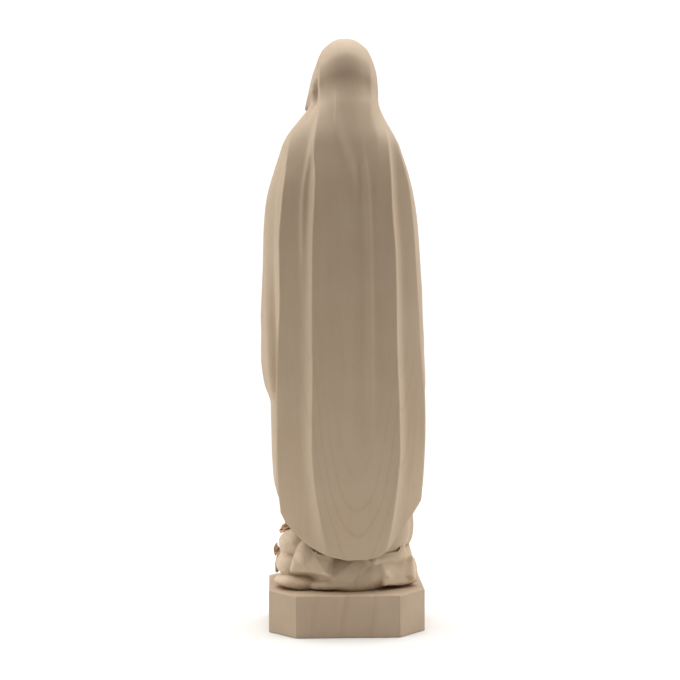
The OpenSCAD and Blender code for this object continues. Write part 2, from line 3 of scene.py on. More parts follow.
import bpy
import numpy as np
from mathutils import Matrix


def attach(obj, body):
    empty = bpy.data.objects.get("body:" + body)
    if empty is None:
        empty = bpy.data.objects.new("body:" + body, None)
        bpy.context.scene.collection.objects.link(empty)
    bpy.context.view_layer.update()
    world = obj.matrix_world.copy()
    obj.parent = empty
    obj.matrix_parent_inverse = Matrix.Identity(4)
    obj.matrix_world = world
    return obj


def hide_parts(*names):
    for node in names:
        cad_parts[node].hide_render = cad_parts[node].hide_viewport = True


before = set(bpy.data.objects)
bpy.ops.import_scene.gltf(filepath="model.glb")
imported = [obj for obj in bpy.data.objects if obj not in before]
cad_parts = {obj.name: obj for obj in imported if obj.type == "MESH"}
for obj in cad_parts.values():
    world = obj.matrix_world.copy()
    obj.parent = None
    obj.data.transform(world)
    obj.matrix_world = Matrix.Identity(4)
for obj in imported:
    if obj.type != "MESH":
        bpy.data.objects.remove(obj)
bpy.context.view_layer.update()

# ---------------------------------------------------------------- plinth
# The plinth is one block of maple with its corners sawn off, planed flat and sanded, with a fine arris
# on every edge. Two countersunk steel screws come up through it from below and hold the rock mound.
MM = 0.001
PLINTH = (79.0, 63.5, 21.4)
CORNER_CUT = 13.5
ARRIS = 0.5


def add_mesh(name, points, faces):
    """A smooth-shaded object from points in millimetres and lists of faces."""
    mesh = bpy.data.meshes.new(name)
    mesh.from_pydata((np.asarray(points, float) * MM).tolist(), [], [tuple(f) for f in faces])
    mesh.update()
    mesh.polygons.foreach_set("use_smooth", [True] * len(mesh.polygons))
    piece = bpy.data.objects.new(name, mesh)
    bpy.context.scene.collection.objects.link(piece)
    return piece


def finish_piece(piece, node, material):
    """Gives a piece its material and puts it in place of the plain CAD node that it stands for."""
    piece.data.materials.clear()
    piece.data.materials.append(material)
    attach(piece, "root")
    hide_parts(node)


def linear(code):
    """An sRGB hex colour as the linear colour that a shader reads."""
    parts = [int(code[i:i + 2], 16) / 255 for i in (1, 3, 5)]
    return [p / 12.92 if p <= 0.04045 else ((p + 0.055) / 1.055) ** 2.4 for p in parts] + [1.0]


def add_node(tree, kind, inputs=None, **settings):
    """Adds a node, sets its properties, links or sets its inputs, and gives its first output."""
    node = tree.nodes.new(kind)
    for key, value in settings.items():
        setattr(node, key, value)
    for key, value in (inputs or {}).items():
        if isinstance(value, bpy.types.NodeSocket):
            tree.links.new(value, node.inputs[key])
        else:
            node.inputs[key].default_value = value
    return node.outputs[0] if node.outputs else node


def carved_maple(name, pith, taper=-0.1, ring=2.8, tone="#baa48b", line="#8a6a47", strength=0.15):
    """Maple, carved, sanded fine and waxed thin. The rings are cone shells round the pith, so a carved
    curve cuts them into nested arches. Fibres run up the block, and the wax leaves a low satin sheen."""
    material = bpy.data.materials.new(name)
    material.use_nodes = True
    tree = material.node_tree
    shader = tree.nodes["Principled BSDF"]
    place = add_node(tree, "ShaderNodeTexCoord").node.outputs["Object"]
    block = add_node(tree, "ShaderNodeMapping", {"Vector": place, "Location": [-p * MM for p in pith]})
    split = add_node(tree, "ShaderNodeSeparateXYZ", {0: block}).node
    across, deep, up = split.outputs
    slow = add_node(tree, "ShaderNodeTexNoise", {"Vector": block, "Scale": 20.0, "Detail": 1.5})
    wobble = add_node(tree, "ShaderNodeMath", {0: slow, 1: 6 * MM, 2: -3 * MM}, operation="MULTIPLY_ADD")
    square = add_node(tree, "ShaderNodeMath", {0: across, 1: across}, operation="MULTIPLY")
    square = add_node(tree, "ShaderNodeMath", {0: deep, 1: deep, 2: square}, operation="MULTIPLY_ADD")
    radius = add_node(tree, "ShaderNodeMath", {0: square}, operation="SQRT")
    shell = add_node(tree, "ShaderNodeMath", {0: up, 1: taper, 2: radius}, operation="MULTIPLY_ADD")
    shell = add_node(tree, "ShaderNodeMath", {0: shell, 1: wobble}, operation="ADD")
    years = add_node(tree, "ShaderNodeMath", {0: shell, 1: ring * MM}, operation="DIVIDE")
    year = add_node(tree, "ShaderNodeMath", {0: years}, operation="FLOOR")
    season = add_node(tree, "ShaderNodeMath", {0: years}, operation="FRACT")
    # Some years leave a clear dark edge and most leave a faint one
    luck = add_node(tree, "ShaderNodeMath", {0: year, 1: 0.67, 2: 4.4}, operation="MULTIPLY_ADD")
    luck = add_node(tree, "ShaderNodeMath", {0: luck}, operation="SINE")
    luck = add_node(tree, "ShaderNodeMapRange", {0: luck, 1: -0.3, 2: 1.0, 3: 0.12, 4: 1.0})
    late = add_node(tree, "ShaderNodeMapRange", {0: season, 1: 0.7, 2: 0.95, 3: 0.0, 4: 1.0},
                    interpolation_type="SMOOTHSTEP")
    stop = add_node(tree, "ShaderNodeMapRange", {0: season, 1: 0.95, 2: 1.0, 3: 1.0, 4: 0.0})
    edge = add_node(tree, "ShaderNodeMath", {0: late, 1: stop}, operation="MULTIPLY")
    edge = add_node(tree, "ShaderNodeMath", {0: edge, 1: luck}, operation="MULTIPLY")
    # The figure shows most in the lowest 110 mm, where the trunk flared
    flare = add_node(tree, "ShaderNodeMapRange", {0: up, 1: 0.11, 2: 0.17, 3: strength, 4: 0.15 * strength})
    edge = add_node(tree, "ShaderNodeMath", {0: edge, 1: flare}, operation="MULTIPLY")
    # Fibre bundles are 0.4 mm wide and 7 mm long, coarser than real ones so that they show. The broad
    # streaks are 4 mm wide, and the pale clouds some 20 mm
    along = add_node(tree, "ShaderNodeMapping", {"Vector": block, "Scale": (1.0, 1.0, 0.06)})
    fibre = add_node(tree, "ShaderNodeTexNoise", {"Vector": along, "Scale": 2400.0, "Detail": 2.0})
    streak = add_node(tree, "ShaderNodeTexNoise", {"Vector": along, "Scale": 260.0, "Detail": 2.0})
    cloud = add_node(tree, "ShaderNodeTexNoise", {"Vector": block, "Scale": 45.0, "Detail": 2.0})
    colour = add_node(tree, "ShaderNodeMixRGB", {0: edge, 1: linear(tone), 2: linear(line)})
    for pattern, low, high, most, tint in ((fibre, 0.45, 0.75, 0.08, "#9e815f"),
                                           (streak, 0.4, 0.7, 0.10, "#a1886a"),
                                           (cloud, 0.4, 0.7, 0.16, "#c9b9a1")):
        share = add_node(tree, "ShaderNodeMapRange", {0: pattern, 1: low, 2: high, 3: 0.0, 4: most})
        colour = add_node(tree, "ShaderNodeMixRGB", {0: share, 1: colour, 2: linear(tint)})
    tree.links.new(colour, shader.inputs["Base Color"])
    rough = add_node(tree, "ShaderNodeMapRange", {0: fibre, 1: 0.3, 2: 0.7, 3: 0.5, 4: 0.62})
    tree.links.new(rough, shader.inputs["Roughness"])
    relief = add_node(tree, "ShaderNodeBump", {"Strength": 0.1, "Distance": 0.04 * MM, "Height": fibre})
    # Sanding by hand leaves the surface very slightly uneven over 8 mm or so
    hand = add_node(tree, "ShaderNodeTexNoise", {"Vector": block, "Scale": 120.0, "Detail": 1.0})
    relief = add_node(tree, "ShaderNodeBump", {"Strength": 0.5, "Distance": 0.25 * MM, "Height": hand,
                                               "Normal": relief})
    tree.links.new(relief, shader.inputs["Normal"])
    shader.inputs["IOR"].default_value = 1.45
    return material


def plinth_corners(inset, z):
    """The eight corners of the block at one height, drawn in by an inset."""
    x = PLINTH[0] / 2 - inset
    y = PLINTH[1] / 2 - inset
    cut = CORNER_CUT - 0.586 * inset
    return [(x - cut, -y, z), (x, cut - y, z), (x, y - cut, z), (x - cut, y, z),
            (cut - x, y, z), (-x, y - cut, z), (-x, cut - y, z), (cut - x, -y, z)]


arris_steps = [(ARRIS, 0), (0.15, 0.15), (0, ARRIS), (0, PLINTH[2] - ARRIS),
               (0.15, PLINTH[2] - 0.15), (ARRIS, PLINTH[2])]
corners = [p for inset, z in arris_steps for p in plinth_corners(inset, z)]
sides = [(8 * r + c, 8 * r + (c + 1) % 8, 8 * r + 8 + (c + 1) % 8, 8 * r + 8 + c)
         for r in range(len(arris_steps) - 1) for c in range(8)]
ends = [tuple(range(7, -1, -1)), tuple(range(len(corners) - 8, len(corners)))]
plinth_block = add_mesh("plinth_block", corners, sides + ends)
plinth_block.data.polygons.foreach_set("use_smooth", [False] * len(plinth_block.data.polygons))
plinth_maple = carved_maple("maple block, planed and sanded", pith=(-91, 12, 0), taper=0.1, ring=14.0,
                            tone="#b29c85", strength=0.17)
finish_piece(plinth_block, "plinth", plinth_maple)

# Bright zinc plating on turned steel, slightly cloudy
zinc_plate = bpy.data.materials.new("zinc-plated steel, turned")
zinc_plate.use_nodes = True
zinc_tree = zinc_plate.node_tree
zinc_shader = zinc_tree.nodes["Principled BSDF"]
zinc_place = add_node(zinc_tree, "ShaderNodeTexCoord").node.outputs["Object"]
zinc_cloud = add_node(zinc_tree, "ShaderNodeTexNoise",
                      {"Vector": zinc_place, "Scale": 900.0, "Detail": 3.0})
zinc_colour = add_node(zinc_tree, "ShaderNodeMixRGB",
                       {0: zinc_cloud, 1: linear("#9fa1a3"), 2: linear("#c8c8c2")})
zinc_tree.links.new(zinc_colour, zinc_shader.inputs["Base Color"])
zinc_rough = add_node(zinc_tree, "ShaderNodeMapRange", {0: zinc_cloud, 1: 0.3, 2: 0.7, 3: 0.28, 4: 0.45})
zinc_tree.links.new(zinc_rough, zinc_shader.inputs["Roughness"])
zinc_shader.inputs["Metallic"].default_value = 1.0
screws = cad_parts["plinth_screws"]
screws.data.materials.clear()
screws.data.materials.append(zinc_plate)

# ---------------------------------------------------------------- rock mound
# The mound is carved from its own maple block as a heap of worn boulders. It is glued and screwed to the
# plinth, and its top is cut flat under the robe, where two beech dowels stand up out of it.
MOUND_BASE = 21.5
MOUND_TOP = 40.0


def mix(a, b, share):
    """A value that goes from a to b as the share goes from 0 to 1."""
    return a + (b - a) * share


def smooth(low, high, value):
    """0 at low and 1 at high, with an easy start and finish. Low may be the larger of the two."""
    share = np.clip((value - low) / (high - low), 0, 1)
    return share * share * (3 - 2 * share)


def bump(value, centre, width):
    """A soft hill, 1 at its centre."""
    return np.exp(-((value - centre) / width) ** 2)


def join(a, b, fillet):
    """Two solids in one, with a fillet where they meet. A field is negative inside its solid."""
    share = np.clip(0.5 + 0.5 * (b - a) / fillet, 0, 1)
    return mix(b, a, share) - fillet * share * (1 - share)


def egg(place, centre, radii):
    """The field of an ellipsoid."""
    parts = [(v - m) / r for v, m, r in zip(place, centre, radii)]
    length = np.sqrt(sum(p * p for p in parts)) + 1e-9
    slope = np.sqrt(sum((p / r) ** 2 for p, r in zip(parts, radii))) + 1e-9
    return length * (length - 1) / slope


def block(place, centre, half, turn, tip, round_off):
    """The field of a rounded block, turned about the upright and tipped about its length."""
    x, y, z = (v - m for v, m in zip(place, centre))
    x, y = x * math.cos(turn) + y * math.sin(turn), y * math.cos(turn) - x * math.sin(turn)
    y, z = y * math.cos(tip) + z * math.sin(tip), z * math.cos(tip) - y * math.sin(tip)
    over = [np.abs(v) - h + round_off for v, h in zip((x, y, z), half)]
    outside = np.sqrt(sum(np.maximum(o, 0) ** 2 for o in over))
    deepest = np.maximum(np.maximum(over[0], over[1]), over[2])
    return outside + np.minimum(deepest, 0) - round_off


def rod(place, start, end, r_start, r_end):
    """The field of a round rod between two points that tapers from one radius to the other."""
    axis = [b - a for a, b in zip(start, end)]
    length = sum(a * a for a in axis)
    along = np.clip(sum((v - a) * d for v, a, d in zip(place, start, axis)) / length, 0, 1)
    away = [v - a - along * d for v, a, d in zip(place, start, axis)]
    return np.sqrt(sum(v * v for v in away)) - mix(r_start, r_end, along)


def carve(field, low, high, step):
    """Points and faces of the closed surface where a field is zero, from one point in each crossed cell."""
    grids = [np.arange(a, b + step, step) for a, b in zip(low, high)]
    values = field(np.meshgrid(*grids, indexing="ij", sparse=True)).astype(np.float32)
    solid = values < 0
    cells = np.array(solid.shape) - 1
    total = np.zeros((*cells, 3), np.float32)
    count = np.zeros(cells, np.float32)
    near, far = slice(0, -1), slice(1, None)
    for axis in range(3):
        rest = [a for a in range(3) if a != axis]
        for ends in ((0, 0), (0, 1), (1, 0), (1, 1)):
            first, second = [near] * 3, [far] * 3
            for a, k in zip(rest, ends):
                first[a] = second[a] = (near, far)[k]
            va, vb = values[tuple(first)], values[tuple(second)]
            crossed = (va < 0) != (vb < 0)
            share = va / np.where(crossed, va - vb, 1)
            total[..., axis] += np.where(crossed, share, 0)
            for a, k in zip(rest, ends):
                total[..., a] += np.where(crossed, k, 0)
            count += crossed
    used = count > 0
    index = np.full(used.shape, -1)
    index[used] = np.arange(used.sum())
    points = np.array(low) + step * (np.argwhere(used) + total[used] / count[used][:, None])
    faces = []
    for axis in range(3):
        u, v = [(1, 2), (2, 0), (0, 1)][axis]
        first, second = [slice(1, -1)] * 3, [slice(1, -1)] * 3
        first[axis], second[axis] = near, far
        inner, outer = solid[tuple(first)], solid[tuple(second)]
        for rising in (True, False):
            spots = np.argwhere((inner != outer) & (inner == rising))
            spots[:, u] += 1
            spots[:, v] += 1
            ring = []
            for du, dv in ((-1, -1), (0, -1), (0, 0), (-1, 0)):
                cell = spots.copy()
                cell[:, u] += du
                cell[:, v] += dv
                ring.append(index[tuple(cell.T)])
            quads = np.stack(ring, 1)
            faces.append(quads if rising else quads[:, ::-1])
    # Three short steps down the field's slope bring each point onto the surface itself
    probe = step * 0.1
    for _ in range(3):
        here = field(tuple(points.T))
        slope = np.stack([field(tuple((points + probe * side).T)) - here for side in np.eye(3)], 1) / probe
        steep = np.maximum((slope ** 2).sum(1), 0.25)
        points = points - np.clip((here / steep)[:, None] * slope, -step / 2, step / 2)
    return points, np.concatenate(faces)


# Worn, egg-shaped stones: centre and half sizes
round_stones = [
    ((25.2, 3, 43.0), (9.2, 13, 7.2)),
    ((28.0, 6, 32.6), (7.6, 11, 6.4)),
    ((20.5, 14.0, 37.5), (6.4, 6.4, 9.0)),
    ((24.6, 9.6, 25.0), (12.6, 11.6, 4.6)),
    ((9.0, 14.6, 24.2), (11.0, 9.4, 4.0)),
    ((-3.0, 14.2, 29.0), (21, 10.2, 11.5)),
    ((2.0, 14.5, 25.0), (16, 9.6, 5.6)),
    ((22.0, -14, 30.0), (12, 11, 9.5)),
    ((5.0, -20, 28.5), (11, 9, 9.0)),
    ((-12.0, -19, 29.5), (11, 9.5, 9.5)),
    ((-24.5, -11, 31.0), (10, 12, 9.0)),
    ((28.0, -9, 34.0), (7, 8.5, 8.0)),
    ((0.0, -3, 31.0), (29, 20, 12)),
]
# Stones split flat by the gouge: centre, half sizes, turn and tip in radians
split_stones = [
    ((15.5, 14.6, 34.2), (10.2, 7.2, 6.8), -0.42, 0.42),
    ((-19.5, 11.0, 36.0), (9.6, 8.0, 6.0), 0.35, 0.75),
    ((-28.0, 2.6, 36.0), (5.4, 9.0, 6.2), 0.15, -0.5),
    ((-22.0, 8.6, 27.6), (11.5, 9.2, 6.4), 0.6, 0.25),
    ((-29.0, 2.0, 25.6), (6.6, 12.5, 5.2), -0.1, 0.5),
    ((14.0, -22.0, 25.0), (10.0, 6.5, 4.4), 0.3, -0.2),
    ((-18.0, -20.0, 24.5), (11.0, 7.5, 3.6), -0.35, 0.1),
    ((9.5, -17.0, 35.5), (9.5, 13.0, 5.6), 0.12, 0.05),
    ((-9.0, -17.5, 34.8), (9.0, 12.4, 6.2), -0.16, 0.05),
]


def boulder_heap(place):
    """The field of the whole heap of stones, cut flat where the robe and the feet stand."""
    x, y, z = place
    heap = egg(place, *round_stones[0])
    for stone in round_stones[1:]:
        heap = join(heap, egg(place, *stone), 0.7)
    for centre, half, turn, tip in split_stones:
        heap = join(heap, block(place, centre, half, turn, tip, 1.3), 0.7)
    # Flat gouge cuts that meet in low ridges, and a worn ridge across the broad back stone
    for aim, every in (((0.55, 0.3, 0.75), 13.0), ((-0.6, 0.45, 0.65), 17.0)):
        cut = (aim[0] * x + aim[1] * y + aim[2] * z) / every % 1
        heap = heap + 2.0 * np.abs(cut - 0.5) - 0.5
    ridge = (x + 20.0) * 0.62 - (z - 30.0) * 0.78
    heap = heap - 0.8 * bump(ridge, 0, 1.6) * smooth(2, 10, y) * smooth(-24, -19, x) * smooth(2, -8, x)
    reach = 28.9 - 4.2 * smooth(0, 12, x) * smooth(-12, 0, y)
    deep = 24.3 - 3.6 * smooth(5, 14, x)
    robe_seat = (np.abs(x) / reach) ** 2.3 + (np.abs(y - 3.2) / deep) ** 2.3
    foot_seat = (np.abs(x) / 15.5) ** 4 + (np.abs(y + 19) / 11) ** 4
    flat_top = np.where((robe_seat < 1) | (foot_seat < 1), z - MOUND_TOP, -9.0)
    return np.maximum(np.maximum(heap, MOUND_BASE - z), flat_top)


mound_maple = carved_maple("maple, carved and left off the gouge", pith=(6, 4, 0), tone="#cab49a")
mound_step = 0.45
boulders = add_mesh("boulders", *carve(boulder_heap, (-38, -34, 20), (38, 27, 52), mound_step))
finish_piece(boulders, "rock_mound", mound_maple)

dowel_beech = carved_maple("beech dowel rod, turned", pith=(0, 0, 0), tone="#c6a37c", line="#9c7650")
for dowel in ("mound_dowels", "mantle_dowels", "neck_dowel", "sleeve_dowels"):
    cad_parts[dowel].data.materials.clear()
    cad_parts[dowel].data.materials.append(dowel_beech)

# ---------------------------------------------------------------- robe
# The robe is the figure's body, one block of maple carved in deep upright folds that fall from the waist.
# It stands on the mound on two dowels, and the sleeves, hands, feet, head and mantle are glued to it.
ROBE_BOTTOM = 40.1
ROBE_TOP = 253.0
MANTLE_WALL = 3.4
GLUE = 0.1
robe_left = [[40, 26.4], [44, 27.5], [52, 28], [62, 29.2], [80, 30.4], [110, 29.4], [150, 28], [175, 26.6],
             [187, 23.6], [196, 24.4], [212, 27.4], [228, 26.8], [237, 25], [243, 21], [247, 15.6],
             [250, 10.2], [253, 7.8]]
robe_right = [[40, 30.5], [44, 33], [52, 34], [64, 32.6], [80, 31], [110, 29.4], [150, 28], [175, 26.6],
              [187, 23.6], [196, 24.4], [212, 26.8], [228, 25.6], [237, 23.6], [243, 20], [247, 15],
              [250, 10], [253, 7.8]]
robe_front = [[40, 20.5], [52, 21], [80, 19.5], [110, 18.6], [150, 17.4], [175, 16.4], [187, 14.6],
              [196, 15], [215, 15.6], [230, 13.8], [240, 10.8], [247, 8.4], [253, 7.4]]
robe_nape = [[40, 40], [222, 24.6], [232, 21], [240, 16.5], [248, 10.5], [253, 7.8]]
cloak_back = [[39, 30.5], [60, 29.5], [100, 28], [165, 28.5], [218, 28], [235, 27.3], [250, 26.6],
              [258, 25.4], [264, 24.3], [274, 22.9], [285, 22.4], [295, 23], [302, 24.4], [309, 26.9],
              [321, 30.9], [330, 32.9], [341, 34.9], [352, 36], [361, 35.6]]
cloak_centre = [[39, 0], [225, 0], [250, -2.5], [264, -5], [361, -5]]
# Each fold of the skirt: its angle from the middle of the front at the hem and at the waist, and its height
skirt_folds = [(-96, -70, 2.0), (-74, -52, 2.6), (-55, -38, 2.2), (-38, -26, 2.8), (-20, -12, 2.3),
               (-3, -1, 2.7), (14, 10, 2.2), (31, 22, 2.9), (48, 34, 2.3), (66, 48, 2.6), (90, 66, 2.0)]


def curve(table, at):
    """A smooth curve through a table of positions and values."""
    t = np.asarray(table, float)
    at = np.asarray(at, float)
    i = np.clip(np.searchsorted(t[:, 0], at, side="right") - 1, 0, len(t) - 2)
    before, a, b, after = t[np.maximum(i - 1, 0)], t[i], t[i + 1], t[np.minimum(i + 2, len(t) - 1)]
    width = b[..., 0] - a[..., 0]
    k = np.clip((at - a[..., 0]) / width, 0, 1)
    slope_a = (b[..., 1] - before[..., 1]) / (b[..., 0] - before[..., 0]) * width
    slope_b = (after[..., 1] - a[..., 1]) / (after[..., 0] - a[..., 0]) * width
    return ((2 * k ** 3 - 3 * k ** 2 + 1) * a[..., 1] + (k ** 3 - 2 * k ** 2 + k) * slope_a
            + (3 * k ** 2 - 2 * k ** 3) * b[..., 1] + (k ** 3 - k ** 2) * slope_b)


def robe_relief(z, front):
    """How far the carved folds stand out, at an angle from the middle of the front."""
    fall = np.clip((182 - z) / 142, 0, 1)
    folds = np.full(np.broadcast(z, front).shape, -9.0)
    for at_hem, at_waist, height in skirt_folds:
        middle = mix(at_waist, at_hem, fall ** 0.8) + 1.2 * np.sin(z / 23 + at_hem)
        reach = mix(7.4, 10.2, fall)
        folds = np.maximum(folds, height * (1 - ((front - middle) / reach) ** 2))
    depth = smooth(183, 150, z) * mix(0.45, 1.0, fall)
    skirt = (np.maximum(folds, -1.6) * 1.2 - 0.9) * depth
    knee = 2.2 * bump(z, 104, 24) * bump(front, -17, 17)
    gathers = 0.32 * np.sin(np.radians(front) * 22 + 0.5 * np.sin(z / 5)) * bump(z, 195, 7)
    chest = 0.5 * np.maximum(0, np.sin(np.radians(front * 6 + (z - 200) * 2.5))) * bump(z, 214, 14)
    chest = chest + 0.55 * np.maximum(0, np.sin(np.radians(front * 7.5 + 60))) * bump(z, 236, 8)
    collar = 0.45 * bump(z, 250.2, 0.9) - 0.25 * bump(z, 248.6, 0.6)
    return (skirt + knee + gathers + chest) * smooth(112, 88, np.abs(front)) + collar


def robe_point(z, t, out):
    """A point of the robe at height z and angle t from the middle of the back."""
    front = np.where(t >= 0, 180 - t, -180 - t)
    rise = out + robe_relief(z, front)
    c = np.cos(np.radians(t))
    rise = rise - 4.0 * smooth(66, 52, z) * smooth(18, 40, t) * smooth(125, 100, t)
    half = np.where(t > 0, curve(robe_left, z), curve(robe_right, z)) + rise
    inside = curve(cloak_back, z) + curve(cloak_centre, z) - MANTLE_WALL - GLUE
    inside = inside - 5.0 * smooth(66, 52, z) * smooth(12, 30, np.abs(t))
    back = np.minimum(inside, curve(robe_nape, z)) + np.minimum(out, 0)
    deep = np.where(c >= 0, back, -(curve(robe_front, z) + rise)) * np.abs(c) ** 0.85
    return np.stack(np.broadcast_arrays(np.sign(t) * half * np.abs(np.sin(np.radians(t))) ** 0.85,
                                        deep, z), -1)


def loft(rings):
    """Points and faces of a closed solid through rings that run anticlockwise seen from its last end."""
    rows, n = len(rings), len(rings[0])
    points = np.concatenate([np.concatenate(rings), [np.mean(rings[0], 0)], [np.mean(rings[-1], 0)]])
    a = (np.arange(rows - 1)[:, None] * n + np.arange(n)[None]).ravel()
    b = (np.arange(rows - 1)[:, None] * n + (np.arange(n)[None] + 1) % n).ravel()
    faces = np.stack([a, b, b + n, a + n], 1).tolist()
    last = (rows - 1) * n
    faces += [(rows * n, (c + 1) % n, c) for c in range(n)]
    faces += [(rows * n + 1, last + c, last + (c + 1) % n) for c in range(n)]
    return points, faces


round_robe = np.concatenate([np.linspace(180, 62, 168), np.linspace(60, -60, 30),
                             np.linspace(-62, -179.4, 168)])
hem_arch = 6.8 * (bump(robe_point(41.0, round_robe, 0)[:, 0], 8.2, 4.4)
                  + bump(robe_point(41.0, round_robe, 0)[:, 0], -8.2, 4.4)) * (np.abs(round_robe) > 100)
robe_rings = []
for k in np.linspace(0, 1, 250):
    height = mix(ROBE_BOTTOM, ROBE_TOP, k)
    robe_rings.append(robe_point(height + hem_arch * (1 - k) ** 12, round_robe, 0.0))
hem_turn = [robe_point(ROBE_BOTTOM + hem_arch + up, round_robe, -inset)
            for inset, up in ((1.6, 4.0), (1.5, 0.4), (1.1, 0.0), (0.4, -0.02))]
robe_body = add_mesh("robe_body", *loft(hem_turn + robe_rings))
figure_maple = carved_maple("maple, carved and sanded", pith=(-3, -6, 0), tone="#baa48b")
finish_piece(robe_body, "robe", figure_maple)

# ---------------------------------------------------------------- sash
# The sash is carved maple too: a folded band across the waist with a flat knot, and two long tails that
# hang down the skirt. All three lie on the robe and are glued to it.
SASH_LOW = 184
SASH_HIGH = 190.5


def carved_sheet(outer, inner, round_edge):
    """Points and faces of a sheet between two grids of points, with a rounded edge all the way round."""
    rows, cols = outer.shape[:2]
    edge = [(0, c) for c in range(cols)] + [(r, cols - 1) for r in range(1, rows)]
    edge += [(rows - 1, c) for c in range(cols - 2, -1, -1)] + [(r, 0) for r in range(rows - 2, 0, -1)]
    points = [outer.reshape(-1, 3), inner.reshape(-1, 3)]
    grid = np.arange(rows * cols).reshape(rows, cols)
    a, b, d, e = grid[:-1, :-1].ravel(), grid[:-1, 1:].ravel(), grid[1:, :-1].ravel(), grid[1:, 1:].ravel()
    n = rows * cols
    faces = [np.stack([a, d, e, b], 1), np.stack([a, b, e, d], 1) + n]
    place = np.array(edge)
    within = np.clip(place, 1, [rows - 2, cols - 2])
    rim_out, rim_in = outer[tuple(place.T)], inner[tuple(place.T)]
    away = (rim_out + rim_in) / 2 - (outer[tuple(within.T)] + inner[tuple(within.T)]) / 2
    away = away / (np.linalg.norm(away, axis=1)[:, None] + 1e-9)
    loop = grid[tuple(place.T)]
    rings = [loop]
    for k in (0.2, 0.5, 0.8):
        rings.append(2 * n + len(edge) * (len(rings) - 1) + np.arange(len(edge)))
        points.append(mix(rim_out, rim_in, k) + away * round_edge * math.sin(math.pi * k))
    rings.append(loop + n)
    for upper, lower in zip(rings, rings[1:]):
        faces.append(np.stack([upper, np.roll(upper, -1), np.roll(lower, -1), lower], 1))
    return np.concatenate(points), np.concatenate(faces)


def sash_strip(levels, left, right, columns, flare, folds):
    """A strip on the robe's front between two angles from its middle, with its own folds."""
    z = np.asarray(levels, float)[:, None]
    share = np.linspace(0, 1, columns)[None]
    front = mix(left, right, share) * (1 + flare * (levels[-1] - z) / (levels[-1] - levels[0]))
    t = np.where(front >= 0, 180 - front, -180 - front)
    z = np.broadcast_to(z, front.shape)
    return carved_sheet(robe_point(z, t, 1.5 + folds(z, share)), robe_point(z, t, 0.05), 0.35)


def band_folds(z, share):
    """Three soft folds along the band, and the knot in its middle."""
    return 0.3 * np.abs(np.sin((z - SASH_LOW) * 1.05 + 3 * share)) + 0.8 * bump(share, 0.5, 0.03)


def tail_folds(z, share):
    """The folds along a tail, which flatten out under the band."""
    return 0.45 * np.cos(share * 15 + z / 30) * smooth(SASH_LOW, 160, z)


sash_maple = carved_maple("maple, carved thin", pith=(9, -6, 0), tone="#c1ab8d")
band = sash_strip(np.linspace(SASH_LOW, SASH_HIGH, 24), 74, -74, 180, 0.0, band_folds)
finish_piece(add_mesh("sash_band_folded", *band), "sash_band", sash_maple)
left_tail = sash_strip(np.linspace(100, SASH_LOW - GLUE, 110), 16, 2, 34, 0.25, tail_folds)
finish_piece(add_mesh("sash_left_tail_folded", *left_tail), "sash_left_tail", sash_maple)
right_tail = sash_strip(np.linspace(108, SASH_LOW - GLUE, 110), -2, -16, 34, 0.25, tail_folds)
finish_piece(add_mesh("sash_right_tail_folded", *right_tail), "sash_right_tail", sash_maple)

# ---------------------------------------------------------------- feet
# Her bare feet are two small maple carvings, set into sockets under the robe's hem, toes forward.
FOOT_X = 8.2
FOOT_SOLE = 40.15
# Each toe: how far it stands to one side, where its tip reaches, and its radius
toes = [(-3.0, -28.3, 1.75), (-0.7, -28.0, 1.2), (1.1, -27.3, 1.1), (2.7, -26.4, 1.0), (4.1, -25.3, 0.9)]


def bare_foot(place):
    """The field of her left foot: an arched body, five toes and their nails, cut flat under the sole."""
    x, y, z = place
    foot = egg(place, (0.3, -15, 42.4), (4.9, 11.5, 5.0))
    foot = join(foot, egg(place, (-0.6, -22.5, 41.2), (4.6, 4.5, 3.2)), 2.0)
    for at, tip, r in toes:
        knuckle = rod(place, (at * 0.85, -22.0, 42.2), (at, tip + 1.6, 41.4), r * 0.9, r)
        toe = join(knuckle, egg(place, (at, tip + 0.6, 41.3), (r, r * 1.5, r * 0.95)), 0.4)
        nail = egg(place, (at, tip - 0.1, 41.3 + r * 0.95), (r * 0.62, r * 0.8, 0.28))
        foot = join(foot, np.maximum(toe, -nail), 0.5)
    return np.maximum(foot, FOOT_SOLE - z)


skin_maple = carved_maple("maple, carved fine", pith=(-14, 6, 0), tone="#c4af92", strength=0.14)
foot_points, foot_faces = carve(bare_foot, (-6.5, -31, 39.5), (6.5, -11, 48.5), 0.2)
for name, side in (("left", 1), ("right", -1)):
    turned = foot_faces if side > 0 else foot_faces[:, ::-1]
    foot = add_mesh(name + "_foot_bare", foot_points * [side, 1, 1] + [side * FOOT_X, 0, 0], turned)
    finish_piece(foot, name + "_foot", skin_maple)

# ---------------------------------------------------------------- roses
# Each rose is a maple bud of overlapping petals, carved apart and glued on a peg: one on each foot, and two
# at her left side, where a leafy stem climbs the rock.
golden_turn = math.radians(137.5)


